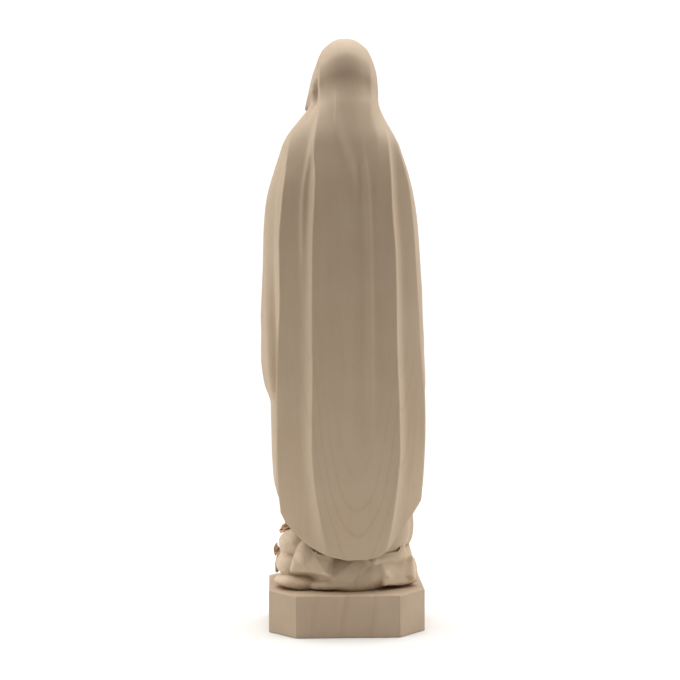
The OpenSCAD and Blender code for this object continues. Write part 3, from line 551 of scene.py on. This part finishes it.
def rose_tree():
    """Petals round a heart: the first stand close and upright, the last lie open."""
    tree = bpy.data.node_groups.new("carved rose", "GeometryNodeTree")
    for label, kind in (("Petals", "Int"), ("Width", "Float"), ("Height", "Float")):
        tree.interface.new_socket(label, in_out="INPUT", socket_type="NodeSocket" + kind)
    tree.interface.new_socket("Finish", in_out="INPUT", socket_type="NodeSocketMaterial")
    tree.interface.new_socket("Geometry", in_out="OUTPUT", socket_type="NodeSocketGeometry")

    size = add_node(tree, "NodeGroupInput").node
    number = add_node(tree, "GeometryNodeInputIndex")
    share = add_node(tree, "ShaderNodeMath", {0: number, 1: size.outputs["Petals"]}, operation="DIVIDE")
    opening = add_node(tree, "ShaderNodeMath", {0: share, 1: 0.62}, operation="POWER")
    turn = add_node(tree, "ShaderNodeMath", {0: number, 1: golden_turn}, operation="MULTIPLY")
    away = add_node(tree, "ShaderNodeMath", {0: opening, 1: size.outputs["Width"]}, operation="MULTIPLY")
    away = add_node(tree, "ShaderNodeMath", {0: away, 1: 0.62}, operation="MULTIPLY")
    drop = add_node(tree, "ShaderNodeMath", {0: share, 1: -0.62, 2: 0.62}, operation="MULTIPLY_ADD")
    high = add_node(tree, "ShaderNodeMath", {0: drop, 1: size.outputs["Height"]}, operation="MULTIPLY")
    cosine = add_node(tree, "ShaderNodeMath", {0: turn}, operation="COSINE")
    sine = add_node(tree, "ShaderNodeMath", {0: turn}, operation="SINE")
    x = add_node(tree, "ShaderNodeMath", {0: cosine, 1: away}, operation="MULTIPLY")
    y = add_node(tree, "ShaderNodeMath", {0: sine, 1: away}, operation="MULTIPLY")
    spot = add_node(tree, "ShaderNodeCombineXYZ", {0: x, 1: y, 2: high})
    hearts = add_node(tree, "GeometryNodePoints", {"Count": size.outputs["Petals"], "Position": spot})
    lean = add_node(tree, "ShaderNodeMath", {0: opening, 1: 1.05, 2: 0.12}, operation="MULTIPLY_ADD")
    tilt = add_node(tree, "ShaderNodeCombineXYZ", {1: lean, 2: turn})
    grow = add_node(tree, "ShaderNodeMath", {0: opening, 1: 0.62, 2: 0.42}, operation="MULTIPLY_ADD")
    grow = add_node(tree, "ShaderNodeMath", {0: grow, 1: size.outputs["Width"]}, operation="MULTIPLY")
    # One petal is a thin shell bent to a cup: its middle stands out and its lip curls back
    petal = add_node(tree, "GeometryNodeMeshUVSphere", {"Segments": 18, "Rings": 10, "Radius": 1.0})
    place = add_node(tree, "GeometryNodeInputPosition")
    part = add_node(tree, "ShaderNodeSeparateXYZ", {0: place}).node.outputs
    thin = add_node(tree, "ShaderNodeMath", {0: part[0], 1: 0.13}, operation="MULTIPLY")
    wide = add_node(tree, "ShaderNodeMath", {0: part[1], 1: 0.72}, operation="MULTIPLY")
    bow = add_node(tree, "ShaderNodeMath", {0: wide, 1: wide}, operation="MULTIPLY")
    bow = add_node(tree, "ShaderNodeMath", {0: bow, 1: -0.7, 2: thin}, operation="MULTIPLY_ADD")
    lip = add_node(tree, "ShaderNodeMath", {0: part[2], 1: 0.45}, operation="SUBTRACT")
    lip = add_node(tree, "ShaderNodeMath", {0: lip, 1: 0.0}, operation="MAXIMUM")
    curl = add_node(tree, "ShaderNodeMath", {0: lip, 1: 0.5, 2: bow}, operation="MULTIPLY_ADD")
    tall = add_node(tree, "ShaderNodeMath", {0: part[2], 1: 0.62}, operation="MULTIPLY")
    bent = add_node(tree, "ShaderNodeCombineXYZ", {0: curl, 1: wide, 2: tall})
    petal = add_node(tree, "GeometryNodeSetPosition", {"Geometry": petal, "Position": bent})
    rose = add_node(tree, "GeometryNodeInstanceOnPoints",
                    {"Points": hearts, "Instance": petal, "Rotation": tilt, "Scale": grow})
    rose = add_node(tree, "GeometryNodeRealizeInstances", {"Geometry": rose})
    rose = add_node(tree, "GeometryNodeSetShadeSmooth", {"Geometry": rose})
    rose = add_node(tree, "GeometryNodeSetMaterial", {"Geometry": rose, "Material": size.outputs["Finish"]})
    add_node(tree, "NodeGroupOutput", {"Geometry": rose})
    return tree


def carved_rose(name, node, at, lean, width, height, petals):
    """Grows a rose from the node tree, leans it about the Y axis, and sets it at its place."""
    holder = add_mesh(name + "_holder", [(0, 0, 0)], [])
    grown = holder.modifiers.new("rose", "NODES")
    grown.node_group = rose_nodes
    wanted = {"Petals": petals, "Width": width * MM, "Height": height * MM, "Finish": rose_maple}
    for socket in rose_nodes.interface.items_tree:
        if socket.name in wanted:
            grown[socket.identifier] = wanted[socket.name]
    ready = holder.evaluated_get(bpy.context.evaluated_depsgraph_get())
    mesh = bpy.data.meshes.new_from_object(ready)
    bpy.data.objects.remove(holder)
    points = np.array([v.co[:] for v in mesh.vertices]) / MM
    c, s = math.cos(lean), math.sin(lean)
    x, y, z = points.T
    points = np.stack([x * c + z * s, y, z * c - x * s], 1) + at
    mesh.vertices.foreach_set("co", (points * MM).ravel())
    mesh.update()
    rose = bpy.data.objects.new(name, mesh)
    bpy.context.scene.collection.objects.link(rose)
    finish_piece(rose, node, rose_maple)


rose_nodes = rose_tree()
rose_maple = carved_maple("maple, carved fine and rubbed with rose stain", pith=(20, 8, 0), tone="#bb9878",
                          line="#8f6848")
carved_rose("left_foot_bloom", "left_foot_rose", (FOOT_X, -22.6, 46.3), 0.0, 2.9, 1.6, 13)
carved_rose("right_foot_bloom", "right_foot_rose", (-FOOT_X, -22.6, 46.3), 0.0, 2.9, 1.6, 13)
carved_rose("upper_bloom", "upper_rose", (28.4, -8.0, 47.4), math.radians(24), 5.4, 5.0, 20)
carved_rose("lower_bloom", "lower_rose", (35.0, -9.0, 37.0), math.radians(82), 3.1, 2.2, 15)

stem_path = [(35.4, -16, 24), (35.4, -15, 28), (34.6, -14, 33), (33.0, -13.4, 38), (31.4, -12, 43),
             (31.0, -11, 46.4)]
# Each leaf: where it leaves the stem, the way it points, and its length
leaves = [((34.4, -15.0, 27.5), (0.1, 0.9, 0.3), 6.0), ((33.0, -12.8, 38.5), (-0.1, 0.75, 0.6), 6.6),
          ((31.0, -10.4, 46.0), (0.1, 0.9, 0.2), 7.0), ((30.3, -8.0, 50.0), (-0.02, 0.3, 0.95), 8.6)]


def leafy_stem(place):
    """The field of a stem with pointed leaves, each folded a little along its midrib."""
    wood = rod(place, stem_path[0], stem_path[1], 0.95, 0.9)
    for a, b in zip(stem_path[1:], stem_path[2:]):
        wood = join(wood, rod(place, a, b, 0.9, 0.8), 0.5)
    for at, aim, length in leaves:
        aim = np.array(aim) / np.linalg.norm(aim)
        flat = np.cross(aim, (0, 0.2, 1.0))
        flat = flat / np.linalg.norm(flat)
        wide = np.cross(flat, aim)
        offset = [v - a for v, a in zip(place, at)]
        k, n, w = (sum(o * d for o, d in zip(offset, axis)) for axis in (aim, flat, wide))
        share = np.clip(k / length, 0, 1)
        half = length * 0.3 * np.sqrt(np.maximum(np.sin(math.pi * share ** 0.8), 0.0)) + 0.15
        fold = n - 0.22 * np.abs(w) + 0.8 * share * share
        over = np.sqrt((w / half) ** 2 + (fold / 0.62) ** 2) - 1
        leaf = np.maximum(over * 0.55, np.maximum(-k - 0.3, k - length))
        wood = join(wood, leaf, 0.35)
    return wood


stem = add_mesh("leafy_stem", *carve(leafy_stem, (26, -19, 22), (41, 2, 61), 0.25))
finish_piece(stem, "rose_stem", rose_maple)

# ---------------------------------------------------------------- mantle
# The mantle is one deep shell of maple carved as heavy cloth: it covers the head as a hood, falls over both
# shoulders and arms, and closes round the back to a rounded hem. Dowels and glue hold it to the robe.
NECK_Z = 264.0
HOOD_RIM = 361.0
cloak_left = [[39, 37], [84, 37.6], [118, 37], [142, 38.2], [167, 38.9], [193, 39.2], [213, 38.8],
              [223, 37.8], [233, 35.2], [243, 32.2], [249, 30.4], [254, 28.4], [259, 24.6], [264, 20.6],
              [279, 19.6], [309, 19.4], [335, 18.8], [361, 18]]
cloak_right = [[39, 38], [80, 38.8], [116, 39], [142, 38], [167, 37.2], [193, 35.8], [213, 34.2],
               [223, 33], [233, 31], [243, 28], [249, 26.2], [254, 23], [259, 20], [264, 19],
               [279, 18.6], [309, 18.2], [361, 17.8]]
cloak_front = [[118, 26], [150, 28.5], [190, 32.5], [206, 33], [222, 26.5], [240, 17], [250, 11.5],
               [258, 7.6], [264, 4.6], [280, 2.8], [361, 2]]
cloak_reach = [[39, 141], [118, 141], [150, 148], [190, 155], [210, 157], [235, 154], [250, 155],
               [258, 151], [264, 138], [275, 112], [290, 93], [300, 89], [361, 88]]
cloak_square = [[39, 0.77], [225, 0.77], [250, 0.82], [264, 0.88], [280, 0.96], [320, 0.96], [361, 0.86]]
tuck_left = [[39, 0], [245, 0], [264, 0.1], [290, -0.02], [361, -0.04]]
tuck_right = [[39, 0], [245, 0], [264, 0.2], [290, 0.14], [320, 0.1], [361, 0.12]]
# Height of the hem at each angle from the middle of the back, on her right and on her left
hem_right = [[0, 39.4], [14, 40.2], [24, 44.2], [36, 53.5], [48, 60], [63, 70], [90, 88], [141, 118]]
hem_left = [[0, 39.4], [15, 43], [29, 48], [44, 55.7], [54, 65], [74, 76.5], [90, 87], [141, 118]]
# Angles and heights of the pleats' crests, from the hem up to the hood's rim
inner_left = [[39, 9.5], [54, 13], [66, 15.6], [80, 18.4], [100, 20], [140, 19], [200, 18], [220, 17.2],
              [232, 18.8], [241, 22.6], [250, 24.6], [256, 27], [264, 34], [276, 39], [300, 42],
              [330, 41], [361, 34]]
inner_right = [[39, -21], [53, -25], [70, -29], [90, -32], [120, -31], [150, -30], [190, -30.6],
               [214, -29.6], [230, -31.5], [242, -35.5], [250, -41], [256, -50], [264, -62], [361, -66]]
outer_left = [[39, 50], [75, 56], [100, 56], [120, 56.5], [148, 52], [166, 49], [200, 49], [214, 47],
              [227, 47], [236, 50], [244, 54], [256, 62], [264, 66], [361, 70]]
outer_right = [[39, -58], [80, -66], [150, -62], [180, -59], [205, -58], [225, -56], [244, -54],
               [264, -66], [361, -70]]
inner_height = [[39, 1.4], [60, 2.6], [100, 3], [230, 3], [252, 2.4], [264, 1.2], [276, 0.5],
                [320, 0.4], [361, 0.2]]
inner_slow = [[39, 30], [250, 30], [275, 14], [361, 14]]
right_fade = [[39, 1.1], [236, 1.1], [252, 0.8], [262, 0], [361, 0]]
outer_height = [[39, 0.8], [75, 2.4], [100, 3.2], [125, 3.2], [150, 2.7], [230, 2.7], [243, 2.5],
                [252, 1.5], [264, 0.2], [361, 0]]
drape_height = [[39, 0], [114, 0], [125, 3.4], [145, 3.6], [200, 1.4], [361, 0]]
veil_ridge = [[39, -14], [190, -14], [214, -16], [235, -20], [250, -28], [264, -33], [290, -40],
              [361, -34]]
veil_height = [[39, 0], [160, 0], [190, 0.3], [214, 0.6], [240, 0.9], [264, 0.9], [300, 0.7],
               [340, 0.5], [361, 0.3]]
veil_groove = [[39, 0], [258, 0], [266, 1.2], [275, 1.9], [310, 2.1], [335, 1.1], [361, 0]]
# Folds that fall from each forearm: angle at the hem, angle at the arm, and height
arm_falls = [(76, 82, 0.9), (92, 99, 1.2), (106, 113, 1.7), (121, 127, 1.6),
             (-78, -84, 0.8), (-93, -100, 1.2), (-108, -114, 1.7), (-124, -130, 1.7)]
nape_fold = [[200, -4], [233, -1], [266, 12], [290, 18]]


def pleat(t, crest, height, slow, quick, crisp=2.0):
    """A pleat with a crisp crest, a slow side towards the back and a quick one outwards."""
    away = (t - crest) * np.sign(crest)
    inward = np.maximum(0, 1 + away / slow) ** 2
    outward = np.maximum(0, 1 - away / quick) ** crisp
    return height * np.where(away < 0, inward, outward)


def cloak_folds(s, t):
    """How far the cloth stands out at each place: the long pleats, the faint ones, and the arms' folds."""
    main = (pleat(t, curve(inner_left, s), 1.15 * curve(inner_height, s), curve(inner_slow, s), 15, 2.6)
            + pleat(t, curve(inner_right, s), curve(inner_height, s) * curve(right_fade, s), 30, 15, 2.6)
            + pleat(t, curve(outer_left, s), 1.15 * curve(outer_height, s), 27, 9)
            + pleat(t, curve(outer_right, s), 1.1 * curve(outer_height, s), 25, 9)
            + pleat(t, curve(veil_ridge, s), curve(veil_height, s), 14, 22)
            + curve(drape_height, s) * (bump(t, 98, 24) + 0.3 * bump(t, -100, 20) - 0.5 * bump(t, 67, 5))
            - curve(veil_groove, s) * bump(t, 53, 5))
    faint = (0.7 * bump(t, 28, 2.6) * smooth(165, 215, s) * smooth(258, 235, s)
             + 0.8 * bump(t, curve(nape_fold, s), 2.6) * smooth(205, 228, s) * smooth(292, 268, s)
             + 1.25 * bump(t, -10.5, 2.3) * smooth(80, 130, s) * smooth(250, 225, s)
             + 0.8 * bump(t, 1.2, 2.0) * smooth(60, 120, s) * smooth(240, 205, s))
    spread = np.abs(t) - 100
    drape = smooth(4, 14, spread) * smooth(118, 138, s) * smooth(236, 206, s)
    ripples = drape * (1.5 * np.abs(np.sin(np.radians(spread * 7.5 + 0.3 * s))) - 0.5)
    falls = 0
    for low_t, high_t, height in arm_falls:
        crest = mix(low_t, high_t, smooth(100, 212, s))
        falls = falls + height * pleat(t, crest, 1.0, 11, 8) * smooth(70, 110, s) * smooth(238, 205, s)
    return main + faint + ripples + falls


def cloak_point(s, t, out):
    """A point of the cloak. s climbs to the neck, and then turns with the hood, a unit a degree."""
    half = np.where(t > 0, curve(cloak_left, s), curve(cloak_right, s)) + out
    square = curve(cloak_square, s)
    c, across = np.cos(np.radians(t)), np.sin(np.radians(t))
    depth = np.where(c >= 0, curve(cloak_back, s) + out, -(curve(cloak_front, s) + out))
    depth = depth * np.abs(c) ** square
    tuck = np.where(t > 0, curve(tuck_left, s), curve(tuck_right, s)) * smooth(58, 90, np.abs(t))
    turn = np.radians(np.maximum(0, s - NECK_Z))
    return np.stack([np.sign(t) * half * np.abs(across) ** square * (1 - tuck),
                     curve(cloak_centre, s) + depth * np.cos(turn),
                     np.minimum(s, NECK_Z) + depth * np.sin(turn)], -1)


def cloak_angles(s):
    """The angles of the columns, gathered so that one runs exactly along each crest."""
    reach = curve(cloak_reach, s)
    turn_in = np.minimum(105, reach - 8)
    keys = [-reach, -turn_in, curve(outer_right, s), curve(inner_right, s), 0 * s, curve(inner_left, s),
            curve(outer_left, s), turn_in, reach]
    parts = (20, 18, 20, 28, 26, 24, 18, 20)
    columns = [mix(a, b, k / n) for a, b, n in zip(keys, keys[1:], parts) for k in range(n)]
    return np.stack(columns + [reach], -1)


start_angles = cloak_angles(np.full(1, 39.0))[0]
hem_line = np.where(start_angles > 0, curve(hem_left, np.abs(start_angles)),
                    curve(hem_right, np.abs(start_angles)))
climb = np.concatenate([np.linspace(0, 1, 150)[:-1], np.linspace(1, 2, 84)])[:, None]
cloak_s = np.where(climb <= 1, mix(hem_line, NECK_Z, np.minimum(climb, 1)),
                   mix(NECK_Z, HOOD_RIM, np.maximum(climb - 1, 0)))
cloak_t = np.stack([cloak_angles(cloak_s[:, c])[:, c] for c in range(len(start_angles))], 1)
near_edge = np.minimum(np.minimum(smooth(0, 0.06, climb), smooth(2, 1.9, climb)),
                       smooth(0, 9, curve(cloak_reach, cloak_s) - np.abs(cloak_t)))
cloak_wall = mix(2.2, MANTLE_WALL, near_edge)
cloak_outer = cloak_point(cloak_s, cloak_t, cloak_folds(cloak_s, cloak_t))
cloak_inner = cloak_point(cloak_s, cloak_t, -cloak_wall)
# The gouge eases the line round the neck, where the body's upright rows turn into the hood's
ease = (0.5 * bump(climb, 1.02, 0.07))[1:-1, :, None]
EASE_STROKES = 45
for surface in (cloak_outer, cloak_inner):
    for _ in range(EASE_STROKES):
        surface[1:-1] += ease * ((surface[2:] + surface[:-2]) / 2 - surface[1:-1])
mantle_shell = carved_sheet(cloak_outer, cloak_inner, 0.7)
mantle_maple = carved_maple("maple, carved and sanded as cloth", pith=(-4.2, 9, 0), tone="#baa48b")
finish_piece(add_mesh("mantle_shell", *mantle_shell), "mantle", mantle_maple)

# ---------------------------------------------------------------- sleeves
# Each wide sleeve is a separate maple carving, doweled and glued to the robe's front. Its cuff is cut
# hollow, and the wrist is pegged into it.
elbow = np.array([25, -17.2, 206])
cuff = np.array([5.6, -26.2, 211.5])
sleeve_aim = (cuff - elbow) / np.linalg.norm(cuff - elbow)
sleeve_side = np.cross([0, 0, 1], sleeve_aim)
sleeve_side = sleeve_side / np.linalg.norm(sleeve_side)
sleeve_up = np.cross(sleeve_aim, sleeve_side)
sleeve_thick = [[0, 5.4], [0.12, 7], [0.5, 7], [1, 6.6]]
sleeve_tall = [[0, 6.4], [0.12, 8.8], [0.5, 10], [0.85, 12.2], [1, 12.6]]
sleeve_drop = [[0, 0], [0.5, -1.2], [1, -3.4]]
round_sleeve = np.linspace(0, 2 * math.pi, 120, endpoint=False)


def sleeve_ring(k, shrink):
    """A ring of the sleeve, with folds that sweep down from the bend of the arm."""
    middle = mix(elbow, cuff, k) + [0, 0, curve(sleeve_drop, k)]
    folds = 0.75 * np.maximum(np.sin(5 * round_sleeve + 5.5 * k), -0.4) * smooth(0, 0.25, k)
    folds = folds + 0.3 * np.sin(11 * round_sleeve - 4 * k) * smooth(0.2, 0.6, k) - shrink
    side = (curve(sleeve_thick, k) + folds) * np.cos(round_sleeve)
    up = (curve(sleeve_tall, k) + folds) * np.sin(round_sleeve)
    return middle + side[:, None] * sleeve_side + up[:, None] * sleeve_up


sleeve_steps = [(0.0, 3.0), (0.0, 1.2), (0.01, 0.4)] + [(k, 0.0) for k in np.linspace(0.03, 0.985, 70)]
sleeve_steps += [(1.0, 0.15), (1.008, 0.5), (1.0, 0.95), (0.97, 1.2), (0.85, 1.5), (0.68, 2.2), (0.62, 3.5)]
sleeve_points, sleeve_faces = loft([sleeve_ring(k, shrink) for k, shrink in sleeve_steps])
sleeve_maple = carved_maple("maple, carved and sanded for sleeves", pith=(4, 8, 0), tone="#baa48b")
for name, side in (("left", 1), ("right", -1)):
    turned = sleeve_faces if side > 0 else [face[::-1] for face in sleeve_faces]
    sleeve = add_mesh(name + "_sleeve_draped", sleeve_points * [side, 1, 1], turned)
    finish_piece(sleeve, name + "_sleeve", sleeve_maple)

# ---------------------------------------------------------------- hands
# The hands are joined in prayer, palm to palm and fingers up. Each is carved apart with its wrist, which is
# pegged into the cuff, and the two palms are glued together.
hand_root = np.array([0, -26.4, 207.5])
hand_axes = np.array([[1, 0, 0], [0, 0.98, 0.2], [0, -0.2, 0.98]])
# Each finger: its place across the palm, where it leaves the palm, its length and its radius
fingers = [(3.3, 12.3, 11.2, 1.12), (1.15, 12.9, 13.2, 1.17), (-1.05, 12.5, 12.2, 1.12),
           (-3.1, 11.3, 9.8, 0.96)]


def praying_hand(place):
    """The field of her left hand, in thickness from the palm, across it, and up to the fingertips."""
    thickness = place[0]
    hand = block(place, (1.7, 0.0, 6.8), (1.7, 4.3, 6.8), 0.0, 0.0, 1.6)
    hand = join(hand, egg(place, (2.0, 0.4, 3.4), (2.3, 4.0, 5.2)), 1.2)
    hand = join(hand, rod(place, (2.0, 0.0, -1.0), (13.5, 5.2, -2.6), 3.0, 3.6), 2.0)
    for across, base, length, r in fingers:
        joints = [(r + 0.05, across * mix(1.0, 0.72, q), base + length * (q - 0.22))
                  for q in (0, 0.5, 0.78, 1.06)]
        finger = rod(place, joints[0], joints[1], r * 1.05, r * 0.98)
        finger = join(finger, rod(place, joints[1], joints[2], r, r * 0.92), 0.15)
        finger = join(finger, rod(place, joints[2], joints[3], r * 0.92, r * 0.78), 0.15)
        nail = egg(place, (r * 1.86, joints[3][1], joints[3][2] - 0.5), (0.22, r * 0.6, 1.1))
        hand = join(hand, np.maximum(finger, -nail), 0.35)
    thumb = rod(place, (2.0, 3.6, 2.6), (1.9, 5.4, 7.6), 1.6, 1.35)
    thumb = join(thumb, rod(place, (1.9, 5.4, 7.6), (1.4, 5.0, 12.0), 1.3, 0.95), 0.3)
    hand = join(hand, thumb, 0.8)
    return np.maximum(hand, 0.05 - thickness)


hand_step = 0.17
hand_points, hand_faces = carve(praying_hand, (-0.4, -6, -7.5), (18, 10, 27), hand_step)
hand_points = hand_root + hand_points @ hand_axes
for name, side in (("left", 1), ("right", -1)):
    turned = hand_faces if side > 0 else hand_faces[:, ::-1]
    hand = add_mesh(name + "_hand_praying", hand_points * [side, 1, 1], turned)
    finish_piece(hand, name + "_hand", skin_maple)

# ---------------------------------------------------------------- head
# The head and neck are one small maple carving, turned on a dowel before the glue sets. The face is calm
# and downcast, on the carver's usual thirds: hairline to brow, brow to nose, nose to chin.
HEAD_BASE = np.array([0.6, -1.2, 253.1])
HEAD_TURN = math.radians(14)
HEAD_BOW = math.tan(math.radians(5))
lock_path = [(3.5, -9.3, 38.6), (7.8, -8.3, 35.0), (9.9, -6.6, 29.5), (10.2, -5.6, 23.5), (9.3, -4.2, 16.5),
             (8.4, -1.5, 8.5)]
lock_radii = (1.3, 1.9, 2.1, 2.1, 2.3, 2.3)


def calm_head(place):
    """The field of the head, neck and hair. The field leans forward as it rises, which bows the head."""
    x, y, z = place
    y = y + np.maximum(0, z - 5) * HEAD_BOW
    side = np.abs(x)
    whole, twin = (x, y, z), (side, y, z)
    skull = egg(whole, (0, 1.4, 29.2), (11.0, 12.6, 13.3))
    face = egg(whole, (0, -3.0, 21.8), (8.6, 9.0, 12.3))
    head = join(skull, face, 4.0)
    head = join(head, egg(twin, (4.5, -7.0, 20.4), (3.8, 3.9, 4.4)), 2.0)
    head = join(head, egg(whole, (0, -8.6, 11.7), (2.9, 2.7, 2.4)), 2.0)
    head = join(head, rod(whole, (0, 1.2, -2.0), (0, 1.8, 16.0), 6.7, 6.0), 2.0)
    front = smooth(-7.0, -8.5, y)
    # Eye hollows, lowered lids and brows
    head = -join(-head, egg(twin, (4.5, -12.1, 25.8), (3.0, 2.9, 2.2)), 1.4)
    head = join(head, egg(twin, (4.4, -7.7, 25.3), (2.5, 2.5, 1.9)), 0.5)
    lid = 24.35 + 0.09 * (side - 4.4) ** 2
    head = head + 0.32 * front * bump(z, lid, 0.2) * smooth(2.6, 1.9, np.abs(side - 4.4))
    head = head + 0.2 * front * bump(z, lid + 2.4 - 0.12 * (side - 4.4) ** 2, 0.2) * bump(side, 4.4, 2.0)
    brow = 28.9 - 0.06 * (side - 4.0) ** 2
    head = head - 0.3 * front * bump(z, brow, 0.6) * smooth(1.0, 2.2, side) * smooth(8.4, 6.4, side)
    # Nose
    head = join(head, rod(whole, (0, -10.7, 27.0), (0, -13.3, 20.9), 0.95, 1.3), 1.3)
    head = join(head, egg(twin, (1.3, -12.2, 20.4), (1.0, 1.4, 1.0)), 0.5)
    head = np.maximum(head, -egg(twin, (0.75, -12.9, 19.5), (0.4, 0.8, 0.45)))
    # Lips
    head = join(head, egg(twin, (0.85, -10.9, 17.0), (1.75, 1.25, 0.75)), 0.4)
    head = join(head, egg(whole, (0, -10.7, 15.5), (2.0, 1.3, 0.85)), 0.5)
    mouth = 16.25 + 0.05 * side ** 2
    head = head + 0.35 * front * bump(z, mouth, 0.2) * smooth(3.0, 2.2, side)
    head = head + 0.15 * front * bump(x, 0, 0.4) * bump(z, 18.4, 0.7)
    # Wavy hair, parted in the middle and drawn back under the hood
    hair = egg(whole, (0, 2.0, 29.8), (12.0, 13.0, 13.5))
    hair = join(hair, egg(whole, (0, 3.0, 17.0), (9.6, 8.6, 12.5)), 2.0)
    hair = np.maximum(hair, np.minimum((38.6 - 0.085 * side ** 2 - z) * 0.7, -4.6 - y))
    strands = np.sin((y + 0.45 * z + 0.7 * np.sin(0.75 * side)) * 4.4)
    hair = hair + 0.16 * strands + 0.5 * bump(x, 0, 0.5) * smooth(-4, -8, y)
    for a, b, r_a, r_b in zip(lock_path, lock_path[1:], lock_radii, lock_radii[1:]):
        hair = join(hair, rod(twin, a, b, r_a, r_b), 2.2)
    waves = 0.24 * np.sin((1.2 * side - 1.1 * y + 0.9 * np.sin(0.6 * z)) * 3.1)
    hair = hair + waves * smooth(37, 31, z) * smooth(12.0, 10.4, side)
    return np.maximum(join(head, hair, 0.3), -z)


head_step = 0.25
head_points, head_faces = carve(calm_head, (-14, -17, -1), (14, 17, 45), head_step)
c, s = math.cos(HEAD_TURN), math.sin(HEAD_TURN)
head_points = HEAD_BASE + head_points @ np.array([[c, s, 0], [-s, c, 0], [0, 0, 1]])
finish_piece(add_mesh("head_and_neck", head_points, head_faces), "head", skin_maple)

# ---------------------------------------------------------------- floor, light and camera
# A matt white table under a light tent: bright cloth above and round both sides, with a dim gap straight
# in front of her and a dark opening behind her, where the camera looks in.
FLOOR_RADIUS = 450
FLOOR_CORNERS = 96
round_floor = np.linspace(0, 2 * math.pi, FLOOR_CORNERS, endpoint=False)
tent_floor = add_mesh("tent_floor", [(FLOOR_RADIUS * math.cos(a), FLOOR_RADIUS * math.sin(a), 0)
                                     for a in round_floor], [range(FLOOR_CORNERS)])
# Uncoated card: dull, nearly even, and a touch warm
white_card = bpy.data.materials.new("matt white card")
white_card.use_nodes = True
card_tree = white_card.node_tree
card_shader = card_tree.nodes["Principled BSDF"]
card_place = add_node(card_tree, "ShaderNodeTexCoord").node.outputs["Object"]
card_tooth = add_node(card_tree, "ShaderNodeTexNoise", {"Vector": card_place, "Scale": 60.0, "Detail": 2.0})
card_colour = add_node(card_tree, "ShaderNodeMixRGB",
                       {0: card_tooth, 1: linear("#d9d8d6"), 2: linear("#dcdbd9")})
card_tree.links.new(card_colour, card_shader.inputs["Base Color"])
card_shader.inputs["Roughness"].default_value = 0.9
card_shader.inputs["Specular IOR Level"].default_value = 0.1
tent_floor.data.materials.append(white_card)

tent = bpy.data.worlds.new("light tent")
tent.use_nodes = True
bpy.context.scene.world = tent
tent_tree = tent.node_tree
look = add_node(tent_tree, "ShaderNodeTexCoord").node.outputs["Generated"]
split = add_node(tent_tree, "ShaderNodeSeparateXYZ", {0: look}).node.outputs
side_cloth = add_node(tent_tree, "ShaderNodeMapRange", {0: split[1], 1: 0.1, 2: 0.45, 3: 1.88, 4: 0.0},
                      interpolation_type="SMOOTHSTEP")
front_gap = add_node(tent_tree, "ShaderNodeMapRange", {0: split[1], 1: -0.95, 2: -0.35, 3: 0.12, 4: 1.0},
                     interpolation_type="SMOOTHSTEP")
roof_cloth = add_node(tent_tree, "ShaderNodeMapRange", {0: split[2], 1: 0.6, 2: 0.95, 3: 0.03, 4: 2.1},
                      interpolation_type="SMOOTHSTEP")
glow = add_node(tent_tree, "ShaderNodeMath", {0: side_cloth, 1: front_gap, 2: roof_cloth},
                operation="MULTIPLY_ADD")
seen = add_node(tent_tree, "ShaderNodeLightPath").node.outputs["Is Camera Ray"]
glow = add_node(tent_tree, "ShaderNodeMix", {"Factor": seen, "A": glow, "B": 1.05})
tent_tree.links.new(glow, tent_tree.nodes["Background"].inputs["Strength"])
tent_tree.nodes["Background"].inputs["Color"].default_value = (1.0, 0.995, 0.985, 1)

bpy.context.scene.view_settings.view_transform = "Standard"
camera = bpy.data.objects.new("camera", bpy.data.cameras.new("camera"))
bpy.context.scene.collection.objects.link(camera)
camera.data.lens = 82.16
camera.data.sensor_width = 36.0
camera.data.clip_start = 0.01
camera.location = (0.03627, 0.79253, 0.19976)
aim = np.array([0.00278, 0.0, 0.1468]) - np.array(camera.location)
flat_run = math.hypot(aim[0], aim[1])
camera.rotation_euler = (math.pi / 2 + math.atan2(aim[2], flat_run), 0, math.atan2(-aim[0], aim[1]))
bpy.context.scene.camera = camera
